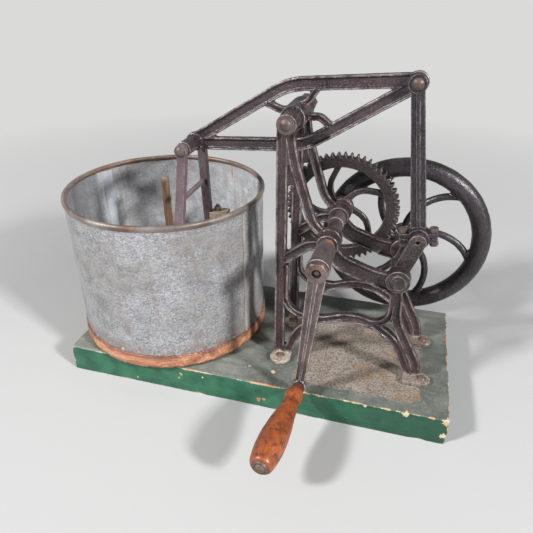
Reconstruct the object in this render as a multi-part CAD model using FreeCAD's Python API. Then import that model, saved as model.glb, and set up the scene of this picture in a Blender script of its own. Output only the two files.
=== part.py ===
import FreeCAD, Part
import math
import os
from FreeCAD import Vector

os.makedirs("parts", exist_ok=True)

# Base board: green painted plank, origin at the centre of its underside
board_length = 490.0
board_width = 220.0
board_thickness = 38.0
board_edge_round = 1.5

# Turning drum: wooden disc, sheet wall, wired rim
drum_inset = 106.0
drum_offset_y = 5.0
drum_radius = 126.5
drum_sheet = 1.0
drum_wall_height = 173.5
disc_thickness = 19.0
disc_overhang = 2.3
disc_round = 2.0
spigot_height = 5.0
spigot_root = 3.0
rim_wire_radius = 3.0
seam_width = 5.0
seam_proud = 1.8
seam_angle = -19.3
lap_width = 16.0
lap_proud = 0.8
lap_angle = 158.0
nail_count = 16
nail_head_radius = 2.2
nail_shank_radius = 0.9
nail_length = 11.0
nail_proud = 0.7
nail_cap_gap = 0.1
post_radius = 5.5
post_height = 186.5
post_round = 1.5
post_seat = 2.0
pivot_pin_radius = 6.0
pivot_pin_depth = 26.0
pivot_pin_in_disc = 13.0
washer_radius = 26.0
washer_thickness = 1.5

# Fits
running_fit = 0.05
seat_fit = 0.02
sheet_fit = 0.15
side_gap = 0.4

# Side frames: two equal iron castings with ribbed edges
frame_gap_from_drum = 36.0
frame_front_y = -47.0
frame_spacing = 80.0
frame_depth = 9.0
web_depth = 4.0
rib_width = 2.6
leg_width = 13.0
foot_reach = 171.5
pad_height = 6.0
left_pad_radius = 13.5
left_pad_forward = 9.5
right_pad_radius = 11.0
right_pad_forward = 5.0
right_pad_out = 10.0
left_pad_out = 3.5
left_sole_length = 22.5
right_sole_inner = 13.0
brace_width = 11.0
left_arm_width = 12.5
right_arm_width = 20.0
arch_width = 11.5
right_leg_width = 12.5
loop_left_width = 8.0
loop_right_width = 8.5
arch_crown = 82.6
arch_left_shoulder = 56.0
arch_right_shoulder = 53.5
arch_crown_radius = 55.0
arch_shoulder_radius = 60.0
right_leg_knee = 55.0
right_leg_ankle = 24.0
right_leg_sweep = 48.0
brace_bend_drop = 41.2
brace_bend_radius = 120.0
loop_height = 69.0
web_top_drop = 8.0
web_foot_drop = 69.0
screw_head_radius = 5.8
screw_head_height = 3.2
screw_radius = 2.4
screw_length = 30.0
screw_slot = 1.4

# Main shaft, turned by the hand crank
main_shaft_from_leg = 56.5
main_shaft_height = 178.0
main_shaft_radius = 8.0
main_boss_radius = 12.5
main_boss_forward = 19.0
main_boss_back = 5.5
hub_plate_radius = 14.0
sleeve_radius = 9.8
sleeve_length = 22.0

# Hand crank
crank_arm_length = 160.6
crank_arm_lean = 5.2
crank_arm_thickness = 8.0
crank_arm_top_width = 20.0
crank_arm_foot_width = 11.0
crank_rib_width = 5.0
crank_rib_proud = 2.0
crank_hub_radius = 11.5
crank_neck_radius = 9.6
crank_neck_length = 10.0
crank_flange_radius = 12.8
crank_eye_radius = 8.0
crank_sweep_gap = 1.8
nut_across_flats = 21.6
nut_height = 8.0
thread_radius = 5.2
thread_sunk = 2.0
nose_tip_radius = 2.6
nose_tip_length = 2.5
centre_hole_radius = 2.2
centre_hole_depth = 5.0

# Turned wooden grip
grip_length = 119.0
grip_radius = 15.6
grip_neck_radius = 9.2
grip_bead_radius = 10.6
grip_collar_radius = 7.8
grip_end_radius = 11.5
grip_tilt = 5.6
spindle_radius = 4.0
spindle_head_out = 1.8
spindle_head_height = 2.4
grip_collar_length = 8.0
grip_bead_length = 17.0
grip_bulb_place = 0.7
grip_washer_radius = 8.8
grip_washer_thickness = 2.0

# Gears, ten teeth per inch of pitch diameter
gear_module = 2.54
gear_teeth = 55
pinion_teeth = 16
pressure_angle = 20.0
tooth_addendum = 0.8
tooth_dedendum = 1.15
tooth_backlash = 0.35
gear_drop_angle = 26.7
gear_width = 11.0
gear_rim_inside_radius = 54.5
gear_hub_radius = 14.5
gear_hub_length = 12.5
gear_spoke_width = 7.5
gear_spoke_depth = 6.0
gear_spokes = 5
gear_spoke_angle = 101.0
key_width = 4.0
key_height = 3.0
pinion_past_gear = 0.5

# Flywheel and its cranked shaft
fly_shaft_radius = 9.0
fly_boss_radius = 14.2
fly_boss_half = 8.0
flywheel_radius = 107.0
flywheel_tube_radius = 12.0
flywheel_hub_radius = 17.0
flywheel_hub_length = 22.0
shaft_end_proud = 0.6
flywheel_spokes = 6
flywheel_spoke_radius = 4.8
flywheel_spoke_angle = 102.0
flywheel_spoke_sweep = 46.0
crank_throw = 45.1
throw_angle = 70.6
crank_pin_radius = 7.0
web_thickness = 8.0
web_width = 19.0
web_eye_out = 2.0
shaft_front_proud = 0.8
shaft_rear_proud = 3.0
big_end_width = 18.8
rod_plane_y = -18.0

# Connecting rod
rod_flange_top = 14.0
rod_flange_foot = 17.6
rod_flange_depth = 4.0
rod_rib_width = 5.0
rod_depth = 8.0
rod_eye_radius = 9.5
wrist_pin_radius = 5.0
big_end_radius = 12.5
lug_reach = 21.0
lug_height = 12.0
rod_bolt_radius = 2.6
rod_nut_across = 9.0
rod_nut_height = 5.0
cap_gap = 0.1
lug_step = 3.0

# Walking beam
pivot_from_leg = 5.5
pivot_height = 304.7
pivot_boss_radius = 11.0
pivot_boss_forward = 11.0
pivot_boss_back = 16.0
pivot_bolt_radius = 6.0
pivot_head_radius = 9.6
pivot_head_height = 2.5
pivot_crown_radius = 6.1
pivot_bolt_past_boss = 9.0
pivot_nut_height = 7.0
wrist_head_radius = 6.6
wrist_head_height = 3.6
beam_right_length = 129.0
beam_left_length = 127.5
beam_tilt = 17.8
beam_upper_knee = 32.5
beam_lower_knee = 34.5
beam_member_width = 15.0
beam_depth = 9.0
beam_hub_radius = 14.0
beam_eye_radius = 11.0
beam_saddle_width = 8.0
yoke_barrel_radius = 8.8
yoke_pin_radius = 5.0
yoke_pin_head_radius = 6.4
yoke_pin_head_height = 3.0
yoke_pin_end_height = 2.5

# Knife yoke and blade
yoke_front_reach = 36.1
yoke_back_reach = 13.6
yoke_arm_width = 11.0
yoke_arm_depth = 9.0
yoke_arm_splay = 33.0
yoke_arm_lean = 9.0
yoke_eye_radius = 7.4
yoke_bar_drop = 57.0
yoke_bar_height = 6.0
yoke_bar_thickness = 5.0
yoke_neck = 13.0
blade_floor_gap = 6.0
blade_height = 42.0
blade_thickness = 2.5
blade_overhang = 7.0
blade_bevel = 8.0
rivet_radius = 2.5
rivet_head_out = 1.8
rivet_head_height = 1.6
rivet_tail_height = 1.2
rivet_low_rise = 20.0
rivet_high_drop = 8.0
arm_foot_rise = 12.0
block_length = 23.0
block_depth = 20.0
block_height = 50.0
block_top_drop = 105.0
block_notch = 2.0
block_bolt_radius = 2.5
block_bolt_out = 7.0
block_bolt_proud = 8.5
block_nut_across = 8.0
block_nut_height = 6.0
block_head_height = 3.5

# Places worked out from the sizes above
board_top = board_thickness
board_left = -board_length / 2
drum_x = board_left + drum_inset
drum_y = drum_offset_y
disc_bottom = board_top + washer_thickness + side_gap
disc_top = disc_bottom + disc_thickness
drum_floor = disc_top + spigot_height
wall_top = disc_top + drum_wall_height
rim_z = wall_top + rim_wire_radius
wall_middle_radius = drum_radius - drum_sheet / 2
leg_x = drum_x + drum_radius + frame_gap_from_drum + leg_width / 2
frame_back_y = frame_front_y + frame_spacing
foot_x = leg_x + foot_reach
main_x = leg_x + main_shaft_from_leg
main_z = board_top + main_shaft_height
gear_pitch_radius = gear_module * gear_teeth / 2
pinion_pitch_radius = gear_module * pinion_teeth / 2
gear_distance = gear_pitch_radius + pinion_pitch_radius
fly_x = main_x + gear_distance * math.cos(math.radians(gear_drop_angle))
fly_z = main_z - gear_distance * math.sin(math.radians(gear_drop_angle))
pivot_x = leg_x + pivot_from_leg
pivot_z = board_top + pivot_height
beam_cos = math.cos(math.radians(beam_tilt))
beam_sin = math.sin(math.radians(beam_tilt))
wrist_x = pivot_x + beam_right_length * beam_cos
wrist_z = pivot_z + beam_right_length * beam_sin
yoke_x = pivot_x - beam_left_length * beam_cos
yoke_z = pivot_z - beam_left_length * beam_sin
pin_x = fly_x + crank_throw * math.cos(math.radians(throw_angle))
pin_z = fly_z + crank_throw * math.sin(math.radians(throw_angle))
rod_length = math.hypot(wrist_x - pin_x, wrist_z - pin_z)
rod_front = rod_plane_y - rod_depth / 2
rod_back = rod_plane_y + rod_depth / 2
beam_y = rod_back + side_gap + beam_depth / 2
web_inner_front = rod_plane_y - big_end_width / 2 - 2 * side_gap
web_inner_back = rod_plane_y + big_end_width / 2 + 2 * side_gap
gear_front = frame_back_y + main_boss_back + side_gap
gear_back = gear_front + gear_hub_length
gear_y = gear_front + gear_hub_length / 2
flywheel_y = gear_back + shaft_end_proud + flywheel_tube_radius + 2 * side_gap
crank_tip_x = main_x - crank_arm_length - crank_eye_radius
rim_reach = wall_middle_radius + rim_wire_radius
drum_reach = math.sqrt(rim_reach**2 - (crank_tip_x - drum_x) ** 2)
crank_back = min(-board_width / 2, drum_y - drum_reach) - crank_sweep_gap
crank_front = crank_back - crank_arm_thickness
grip_x = main_x - crank_arm_length * math.sin(math.radians(crank_arm_lean))
grip_z = main_z - crank_arm_length * math.cos(math.radians(crank_arm_lean))
grip_start = side_gap + grip_collar_radius * math.sin(math.radians(grip_tilt))
grip_end = grip_start + grip_length
washer_low = grip_end + side_gap
washer_high = washer_low + grip_washer_thickness


# Drawing helpers; every cut runs 1 mm past the faces that it goes through
def save(name, shape):
    if isinstance(shape, list):
        shape = Part.makeCompound(shape)
    shape.exportStep("parts/" + name + ".step")


def box(x0, x1, y0, y1, z0, z1):
    return Part.makeBox(x1 - x0, y1 - y0, z1 - z0, Vector(x0, y0, z0))


def rod_y(x, z, radius, y0, y1):
    return Part.makeCylinder(radius, y1 - y0, Vector(x, y0, z), Vector(0, 1, 0))


def rod_z(x, y, radius, z0, z1):
    return Part.makeCylinder(radius, z1 - z0, Vector(x, y, z0), Vector(0, 0, 1))


def prism_y(points, y0, y1):
    corners = [Vector(x, y0, z) for x, z in points]
    wire = Part.makePolygon(corners + [corners[0]])
    return Part.Face(wire).extrude(Vector(0, y1 - y0, 0))


def hexagon_y(x, z, across, y0, y1):
    reach = across / math.sqrt(3)
    turns = [math.radians(60 * i) for i in range(6)]
    return prism_y([(x + reach * math.cos(a), z + reach * math.sin(a)) for a in turns], y0, y1)


def hexagon_z(x, y, across, z0, z1):
    nut = hexagon_y(0, 0, across, z0, z1)
    nut.rotate(Vector(0, 0, 0), Vector(1, 0, 0), 90)
    nut.translate(Vector(x, y, 0))
    return nut


def fuse_all(solids):
    whole = solids[0].multiFuse(solids[1:])
    return whole.removeSplitter()


def sideways(direction):
    return Vector(-direction.z, 0, direction.x)


# One side of a band: straight runs joined by tangent arcs, moved sideways by shift
def rail(corners, shift):
    spots = [Vector(c[0], 0, c[1]) for c in corners]
    runs = [(b - a).normalize() for a, b in zip(spots, spots[1:])]
    edges = []
    start = spots[0] + sideways(runs[0]) * shift
    for i in range(1, len(spots) - 1):
        before = runs[i - 1]
        after = runs[i]
        turn = before.getAngle(after)
        left = 1 if sideways(before).dot(after) > 0 else -1
        room = min((spots[i] - spots[i - 1]).Length, (spots[i + 1] - spots[i]).Length)
        radius = min(corners[i][2], 0.49 * room / math.tan(turn / 2))
        reach = radius * math.tan(turn / 2)
        centre = spots[i] - before * reach + sideways(before) * (left * radius)
        enter = spots[i] - before * reach + sideways(before) * shift
        leave = spots[i] + after * reach + sideways(after) * shift
        middle = centre + (spots[i] - centre).normalize() * (radius - left * shift)
        edges.append(Part.LineSegment(start, enter).toShape())
        edges.append(Part.Arc(enter, middle, leave).toShape())
        start = leave
    end = spots[-1] + sideways(runs[-1]) * shift
    edges.append(Part.LineSegment(start, end).toShape())
    return edges, spots[0] + sideways(runs[0]) * shift, end


# A bar of even width that follows the corners, between two depths
def band(corners, width, y0, y1):
    left, left_start, left_end = rail(corners, width / 2)
    right, right_start, right_end = rail(corners, -width / 2)
    ends = [Part.LineSegment(left_start, right_start).toShape()]
    ends.append(Part.LineSegment(left_end, right_end).toShape())
    wire = Part.Wire(Part.__sortEdges__(left + right + ends))
    face = Part.Face(wire)
    face.translate(Vector(0, y0, 0))
    return face.extrude(Vector(0, y1 - y0, 0))


# A casting made of bands, with a sunk web between raised edge ribs on both faces
def ribbed_casting(members, plates, y_middle, depth):
    y0 = y_middle - depth / 2
    y1 = y_middle + depth / 2
    sink = (depth - web_depth) / 2
    solids = [band(path, width, y0, y1) for path, width in members] + plates
    body = fuse_all(solids)
    grooves = []
    for path, width in members:
        inner = width - 2 * rib_width
        grooves.append(band(path, inner, y0 - 1, y0 + sink))
        grooves.append(band(path, inner, y1 - sink, y1 + 1))
    return body.cut(grooves[0].multiFuse(grooves[1:]))


# Base board and drum pivot
def base_board():
    half_width = board_width / 2
    board = box(board_left, -board_left, -half_width, half_width, 0, board_top)
    board = board.makeFillet(board_edge_round, board.Edges)
    hole = rod_z(drum_x, drum_y, pivot_pin_radius + seat_fit, board_top - pivot_pin_depth, board_top + 1)
    board = board.cut(hole)
    for x, y, head_z in screw_places():
        board = board.cut(rod_z(x, y, screw_radius + seat_fit, head_z - screw_length, head_z))
    return board


def drum_pivot_pin():
    low = board_top - pivot_pin_depth
    return rod_z(drum_x, drum_y, pivot_pin_radius, low, disc_bottom + pivot_pin_in_disc)


def drum_washer():
    high = board_top + washer_thickness
    disc = rod_z(drum_x, drum_y, washer_radius, board_top, high)
    return disc.cut(rod_z(drum_x, drum_y, pivot_pin_radius + running_fit, board_top - 1, high + 1))


# Drum
def nail_angles():
    return [seam_angle + 360.0 / nail_count * (i + 0.5) for i in range(nail_count)]


def drum_disc():
    disc = rod_z(drum_x, drum_y, drum_radius + disc_overhang, disc_bottom, disc_top)
    disc = disc.makeFillet(disc_round, disc.Edges)
    spigot_radius = drum_radius - drum_sheet - seat_fit
    spigot = rod_z(drum_x, drum_y, spigot_radius, disc_top - spigot_root, drum_floor)
    disc = disc.fuse(spigot).removeSplitter()
    bore_top = disc_bottom + pivot_pin_in_disc + side_gap
    disc = disc.cut(rod_z(drum_x, drum_y, pivot_pin_radius + running_fit, disc_bottom - 1, bore_top))
    disc = disc.cut(rod_z(drum_x, drum_y, post_radius + seat_fit, bore_top + post_seat, drum_floor + 1))
    holes = [nail_solid(a, nail_shank_radius + seat_fit, nail_head_radius + seat_fit) for a in nail_angles()]
    return disc.cut(holes[0].multiFuse(holes[1:]))


def nail_solid(angle, shank, head):
    z = disc_top + spigot_height / 2
    out = Vector(math.cos(math.radians(angle)), math.sin(math.radians(angle)), 0)
    centre = Vector(drum_x, drum_y, z)
    outside = drum_radius + nail_proud
    nail = Part.makeCylinder(shank, nail_length, centre + out * (outside - nail_length), out)
    cap_start = drum_radius + nail_cap_gap
    cap = Part.makeCylinder(head, nail_proud - nail_cap_gap, centre + out * cap_start, out)
    return nail.fuse(cap)


def drum_wall():
    outer = rod_z(drum_x, drum_y, drum_radius, disc_top, wall_top)
    wall = outer.cut(rod_z(drum_x, drum_y, drum_radius - drum_sheet, disc_top - 1, wall_top + 1))
    holes = [nail_solid(a, nail_shank_radius + seat_fit, nail_shank_radius + seat_fit) for a in nail_angles()]
    return wall.cut(holes[0].multiFuse(holes[1:]))


def drum_rim_wire():
    ring = Part.makeTorus(wall_middle_radius, rim_wire_radius)
    ring.translate(Vector(drum_x, drum_y, rim_z))
    return ring


# An upright strip bent to the wall between two radii
def bent_strip(near, far, width, angle, low):
    high = wall_top - rim_wire_radius
    ring = rod_z(drum_x, drum_y, far, low, high).cut(rod_z(drum_x, drum_y, near, low - 1, high + 1))
    slab = box(0, 2 * drum_radius, -width / 2, width / 2, low - 1, high + 1)
    slab.rotate(Vector(0, 0, 0), Vector(0, 0, 1), angle)
    slab.translate(Vector(drum_x, drum_y, 0))
    return ring.common(slab)


def drum_seam():
    near = drum_radius + sheet_fit
    return bent_strip(near, near + seam_proud, seam_width, seam_angle, disc_top + side_gap)


def drum_lap():
    far = drum_radius - drum_sheet - sheet_fit
    return bent_strip(far - lap_proud, far, lap_width, lap_angle, drum_floor + side_gap)


def centre_post():
    low = disc_bottom + pivot_pin_in_disc + side_gap + post_seat
    high = drum_floor + post_height
    post = rod_z(drum_x, drum_y, post_radius, low, high)
    top_edge = [e for e in post.Edges if e.BoundBox.ZMin > (low + high) / 2]
    return post.makeFillet(post_round, top_edge)


# Side frames
def frame_members():
    left = leg_x
    foot = foot_x
    top = board_top
    arm_middle = (main_x + fly_x) / 2
    leg = [(left, top + 1), (left, pivot_z)]
    brace = [
        (pivot_x, pivot_z),
        (pivot_x + 7.5, pivot_z - brace_bend_drop, brace_bend_radius),
        (main_x - 20.0, main_z + 15.0, 45),
        (main_x, main_z),
    ]
    left_arm = [(main_x - 6.5, main_z - 8), (main_x - 24.5, main_z - 11, 25), (left + 4, main_z - 33)]
    right_arm = [
        (main_x - 4, main_z - 10),
        (main_x + 14, main_z - 28, 30),
        (fly_x - 27, fly_z - 1, 60),
        (fly_x, fly_z - 4),
    ]
    arch = [
        (left + 9, top + 1),
        (left + 26.5, top + arch_left_shoulder, arch_shoulder_radius),
        (arm_middle, top + arch_crown, arch_crown_radius),
        (foot - 27.5, top + arch_right_shoulder, arch_shoulder_radius),
        (foot - 4.5, top + 1),
    ]
    right_leg = [
        (fly_x, fly_z),
        (fly_x + 3.5, fly_z - right_leg_knee, right_leg_sweep),
        (foot - 0.5, top + right_leg_ankle, right_leg_sweep),
        (foot + 3, top + 1),
    ]
    loop_foot = top + loop_height
    loop_left = [(left + 6, main_z - 40), (left + 6, loop_foot, 28), (left + 60, loop_foot)]
    loop_right = [
        (fly_x - 28, fly_z - 7.5),
        (fly_x - 3, fly_z - 12.5, 16),
        (fly_x - 3, top + 75, 24),
        (fly_x - 42, top + 74),
    ]
    return [
        (leg, leg_width),
        (brace, brace_width),
        (left_arm, left_arm_width),
        (right_arm, right_arm_width),
        (arch, arch_width),
        (right_leg, right_leg_width),
        (loop_left, loop_left_width),
        (loop_right, loop_right_width),
    ]


def screw_places():
    places = []
    for y in (frame_front_y, frame_back_y):
        head_z = board_top + pad_height
        places.append((leg_x + left_pad_out, y - left_pad_forward, head_z))
        places.append((foot_x + right_pad_out, y - right_pad_forward, head_z))
    return places


def foot_pads(y):
    top = board_top + pad_height
    left_y = y - left_pad_forward
    left = rod_z(leg_x + left_pad_out, left_y, left_pad_radius, board_top, top)
    sole_x = leg_x - leg_width / 2
    left_sole = box(sole_x, sole_x + left_sole_length, left_y, y + frame_depth / 2, board_top, top)
    right_x = foot_x + right_pad_out
    right_y = y - right_pad_forward
    right = rod_z(right_x, right_y, right_pad_radius, board_top, top)
    front = right_y - right_pad_radius
    back = right_y + right_pad_radius
    right_sole = box(foot_x - right_sole_inner, right_x, front, back, board_top, top)
    return [left, left_sole, right, right_sole]


def side_frame(y):
    y0 = y - frame_depth / 2
    y1 = y + frame_depth / 2
    plates = [
        rod_y(main_x, main_z, hub_plate_radius, y0, y1),
        rod_y(fly_x, fly_z, fly_boss_radius, y0, y1),
        rod_y(pivot_x, pivot_z, pivot_boss_radius, y0, y1),
    ]
    frame = ribbed_casting(frame_members(), plates, y, frame_depth)
    web = prism_y(
        [
            (leg_x + 4, pivot_z - web_top_drop),
            (pivot_x + 4, pivot_z - 20),
            (pivot_x + 8, pivot_z - 42),
            (pivot_x + 15, pivot_z - 66),
            (leg_x + 4, pivot_z - web_foot_drop),
        ],
        y - web_depth / 2,
        y + web_depth / 2,
    )
    bosses = [
        rod_y(main_x, main_z, main_boss_radius, y - main_boss_forward, y + main_boss_back),
        rod_y(fly_x, fly_z, fly_boss_radius, y - fly_boss_half, y + fly_boss_half),
        rod_y(pivot_x, pivot_z, pivot_boss_radius, y - pivot_boss_forward, y + pivot_boss_back),
    ]
    frame = frame.multiFuse([web] + bosses + foot_pads(y))
    frame = frame.cut(rod_y(main_x, main_z, main_shaft_radius + running_fit, y - 40, y + 40))
    frame = frame.cut(rod_y(fly_x, fly_z, fly_shaft_radius + running_fit, y - 40, y + 40))
    frame = frame.cut(rod_y(pivot_x, pivot_z, pivot_bolt_radius + seat_fit, y - 40, y + 40))
    for x, screw_y, head_z in screw_places():
        if abs(screw_y - y) < frame_spacing / 2:
            frame = frame.cut(rod_z(x, screw_y, screw_radius + seat_fit, board_top - 1, head_z + 1))
            frame = frame.cut(rod_z(x, screw_y, screw_head_radius + seat_fit, head_z, head_z + 20))
    frame = frame.cut(box(leg_x - 60, foot_x + 60, y - 60, y + 60, 0, board_top))
    return frame.removeSplitter()


def frame_screws():
    screws = []
    for x, y, head_z in screw_places():
        shank = rod_z(x, y, screw_radius, head_z - screw_length + 1, head_z)
        ball = (screw_head_radius**2 + screw_head_height**2) / (2 * screw_head_height)
        dome = Part.makeSphere(ball, Vector(x, y, head_z + screw_head_height - ball))
        head_top = head_z + screw_head_height
        head = dome.common(rod_z(x, y, screw_head_radius, head_z, head_top))
        reach = screw_head_radius + 1
        half_slot = screw_slot / 2
        slot = box(x - reach, x + reach, y - half_slot, y + half_slot, head_top - screw_slot, head_top + 1)
        screws.append(shank.fuse(head.cut(slot)).removeSplitter())
    return screws


# Main shaft and hand crank
def main_shaft():
    nose = crank_front - nut_height + thread_sunk
    shaft = rod_y(main_x, main_z, main_shaft_radius, crank_front, gear_back + shaft_end_proud)
    shaft = shaft.fuse(rod_y(main_x, main_z, thread_radius, nose + nose_tip_length, crank_front))
    shaft = shaft.fuse(rod_y(main_x, main_z, nose_tip_radius, nose, crank_front))
    return shaft.cut(shaft_key_slot(main_x, main_z, main_shaft_radius, gear_front, gear_hub_length))


# A square key lies half in the shaft and half in the hub, above the shaft
def shaft_key(x, z, radius, y0, length):
    half = key_width / 2
    return box(x - half, x + half, y0, y0 + length, z + radius - key_height / 2, z + radius + key_height / 2)


def shaft_key_slot(x, z, radius, y0, length):
    half = key_width / 2 + seat_fit
    rise = key_height / 2 + seat_fit
    return box(x - half, x + half, y0 - 1, y0 + length + 1, z + radius - rise, z + radius + rise)


def shaft_sleeve():
    y1 = frame_back_y - main_boss_forward - side_gap
    y0 = y1 - sleeve_length
    sleeve = rod_y(main_x, main_z, sleeve_radius, y0, y1)
    return sleeve.cut(rod_y(main_x, main_z, main_shaft_radius + seat_fit, y0 - 1, y1 + 1))


def crank_arm():
    hub_back = frame_front_y - main_boss_forward - side_gap
    half_top = crank_arm_top_width / 2
    half_foot = crank_arm_foot_width / 2
    foot_z = main_z - crank_arm_length
    bar = [
        (main_x - half_top, main_z),
        (main_x + half_top, main_z),
        (main_x + half_foot, foot_z),
        (main_x - half_foot, foot_z),
    ]
    half_rib = crank_rib_width / 2
    rib = [
        (main_x - half_rib, main_z),
        (main_x + half_rib, main_z),
        (main_x + half_rib - 1, foot_z),
        (main_x - half_rib + 1, foot_z),
    ]
    web_front = crank_back - crank_arm_thickness + crank_rib_proud
    arm = fuse_all(
        [
            prism_y(bar, web_front, crank_back),
            prism_y(rib, crank_front, crank_back),
            rod_y(main_x, main_z, crank_flange_radius, crank_front, crank_back),
            rod_y(main_x, main_z, crank_hub_radius, crank_back, hub_back - crank_neck_length),
            rod_y(main_x, main_z, crank_neck_radius, crank_back, hub_back),
            rod_y(main_x, foot_z, crank_eye_radius, crank_front, crank_back),
        ]
    )
    arm.rotate(Vector(main_x, 0, main_z), Vector(0, 1, 0), crank_arm_lean)
    arm = arm.cut(rod_y(main_x, main_z, main_shaft_radius + seat_fit, crank_front - 1, hub_back + 1))
    bore = spindle_radius + seat_fit
    return arm.cut(along_grip(turned([(0, -20), (bore, -20), (bore, 20), (0, 20)])))


def crank_nut():
    y1 = crank_front - seat_fit
    y0 = y1 - nut_height
    nut = hexagon_y(main_x, main_z, nut_across_flats, y0, y1)
    half = nut_across_flats / 2
    cone = Part.makeCone(half, half + nut_height, nut_height, Vector(main_x, y0, main_z), Vector(0, 1, 0))
    return nut.common(cone).cut(rod_y(main_x, main_z, thread_radius + seat_fit, y0 - 1, y1 + 1))


# A turned solid about the vertical axis, from (radius, height) corners
def turned(profile):
    corners = [Vector(r, 0, h) for r, h in profile]
    wire = Part.makePolygon(corners + [corners[0]])
    return Part.Face(wire).revolve(Vector(0, 0, 0), Vector(0, 0, 1), 360)


# Lays a piece turned about the vertical along the grip, height outwards from the arm
def along_grip(solid):
    solid = solid.copy()
    solid.rotate(Vector(0, 0, 0), Vector(1, 0, 0), 90)
    solid.rotate(Vector(0, 0, 0), Vector(0, 0, 1), -grip_tilt)
    solid.translate(Vector(grip_x, crank_front, grip_z))
    return solid


def grip():
    start = grip_start
    end = grip_end
    bore = spindle_radius + running_fit
    collar_end = start + grip_collar_length
    bead_end = collar_end + grip_bead_length
    bulb = start + grip_bulb_place * grip_length
    outline = [
        Part.LineSegment(Vector(bore, 0, start), Vector(grip_collar_radius, 0, start)),
        Part.LineSegment(Vector(grip_collar_radius, 0, start), Vector(grip_collar_radius, 0, collar_end)),
        Part.Arc(
            Vector(grip_collar_radius, 0, collar_end),
            Vector(grip_bead_radius, 0, collar_end + 7),
            Vector(grip_neck_radius, 0, bead_end),
        ),
    ]
    swell = Part.BSplineCurve()
    swell.interpolate(
        [
            Vector(grip_neck_radius, 0, bead_end),
            Vector((grip_neck_radius + grip_radius) / 2 - 0.3, 0, bead_end + 0.42 * (bulb - bead_end)),
            Vector(grip_radius, 0, bulb),
            Vector(grip_radius - 1.2, 0, bulb + 0.6 * (end - bulb)),
            Vector(grip_end_radius, 0, end),
        ]
    )
    outline.append(swell)
    outline.append(Part.LineSegment(Vector(grip_end_radius, 0, end), Vector(bore, 0, end)))
    outline.append(Part.LineSegment(Vector(bore, 0, end), Vector(bore, 0, start)))
    face = Part.Face(Part.Wire([curve.toShape() for curve in outline]))
    return along_grip(face.revolve(Vector(0, 0, 0), Vector(0, 0, 1), 360))


def grip_spindle():
    tip = washer_high
    dome = spindle_head_height
    profile = [(0, -crank_arm_thickness), (spindle_radius, -crank_arm_thickness), (spindle_radius, tip)]
    profile.append((spindle_radius + spindle_head_out, tip))
    profile.append((spindle_radius + spindle_head_out / 3, tip + dome * 0.7))
    profile.append((0, tip + dome))
    return along_grip(turned(profile))


def grip_washer():
    bore = spindle_radius + seat_fit
    outer = grip_washer_radius
    profile = [(bore, washer_low), (outer, washer_low), (outer - 1, washer_high), (bore, washer_high)]
    return along_grip(turned(profile))


# Gears
def involute(angle):
    return math.tan(angle) - angle


# Outline of a spur gear in the X-Z plane, with the first tooth centred at phase
def gear_face(x, z, teeth, phase):
    pitch_radius = gear_module * teeth / 2
    base_radius = pitch_radius * math.cos(math.radians(pressure_angle))
    tip_radius = pitch_radius + tooth_addendum * gear_module
    root_radius = pitch_radius - tooth_dedendum * gear_module
    half_tooth = math.pi / (2 * teeth) - tooth_backlash / (2 * pitch_radius)

    def spot(radius, angle):
        return Vector(x + radius * math.cos(angle), 0, z + radius * math.sin(angle))

    def half_angle(radius):
        if radius <= base_radius:
            return half_tooth + involute(math.radians(pressure_angle))
        roll = math.acos(base_radius / radius)
        return half_tooth + involute(math.radians(pressure_angle)) - involute(roll)

    flank_start = max(root_radius, base_radius)
    flank_middle = (flank_start + tip_radius) / 2
    step = 2 * math.pi / teeth
    edges = []
    for i in range(teeth):
        centre = math.radians(phase) + i * step
        for side in (-1, 1):
            low = spot(flank_start, centre + side * half_angle(flank_start))
            middle = spot(flank_middle, centre + side * half_angle(flank_middle))
            high = spot(tip_radius, centre + side * half_angle(tip_radius))
            edges.append(Part.Arc(low, middle, high).toShape())
            if root_radius < base_radius:
                foot = spot(root_radius, centre + side * half_angle(root_radius))
                edges.append(Part.LineSegment(foot, low).toShape())
        tip_half = half_angle(tip_radius)
        tip_start = spot(tip_radius, centre - tip_half)
        tip_end = spot(tip_radius, centre + tip_half)
        edges.append(Part.Arc(tip_start, spot(tip_radius, centre), tip_end).toShape())
        root_half = half_angle(root_radius)
        gap_start = centre + root_half
        gap_end = centre + step - root_half
        root_start = spot(root_radius, gap_start)
        root_end = spot(root_radius, gap_end)
        edges.append(Part.Arc(root_start, spot(root_radius, (gap_start + gap_end) / 2), root_end).toShape())
    return Part.Face(Part.Wire(Part.__sortEdges__(edges)))


def drive_gear():
    y0 = gear_y - gear_width / 2
    face = gear_face(main_x, main_z, gear_teeth, -gear_drop_angle)
    face.translate(Vector(0, y0, 0))
    rim = face.extrude(Vector(0, gear_width, 0))
    rim = rim.cut(rod_y(main_x, main_z, gear_rim_inside_radius, y0 - 1, y0 + gear_width + 1))
    spokes = []
    for i in range(gear_spokes):
        angle = gear_spoke_angle + i * 360.0 / gear_spokes
        spokes.append(gear_spoke(angle))
    hub = rod_y(main_x, main_z, gear_hub_radius, gear_front, gear_back)
    gear = fuse_all([rim, hub] + spokes)
    gear = gear.cut(rod_y(main_x, main_z, main_shaft_radius + seat_fit, gear_front - 1, gear_back + 1))
    return gear.cut(shaft_key_slot(main_x, main_z, main_shaft_radius, gear_front, gear_hub_length))


# A curved spoke sweeps back as it nears the hub
def gear_spoke(angle):
    def spot(radius, back):
        turn = math.radians(angle + back)
        return main_x + radius * math.cos(turn), main_z + radius * math.sin(turn)

    start = spot(gear_hub_radius - 4, 48)
    bend = spot(0.62 * gear_rim_inside_radius, 24)
    end = spot(gear_rim_inside_radius + 3, -4)
    half = gear_spoke_depth / 2
    return band([start, bend + (45.0,), end], gear_spoke_width, gear_y - half, gear_y + half)


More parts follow.
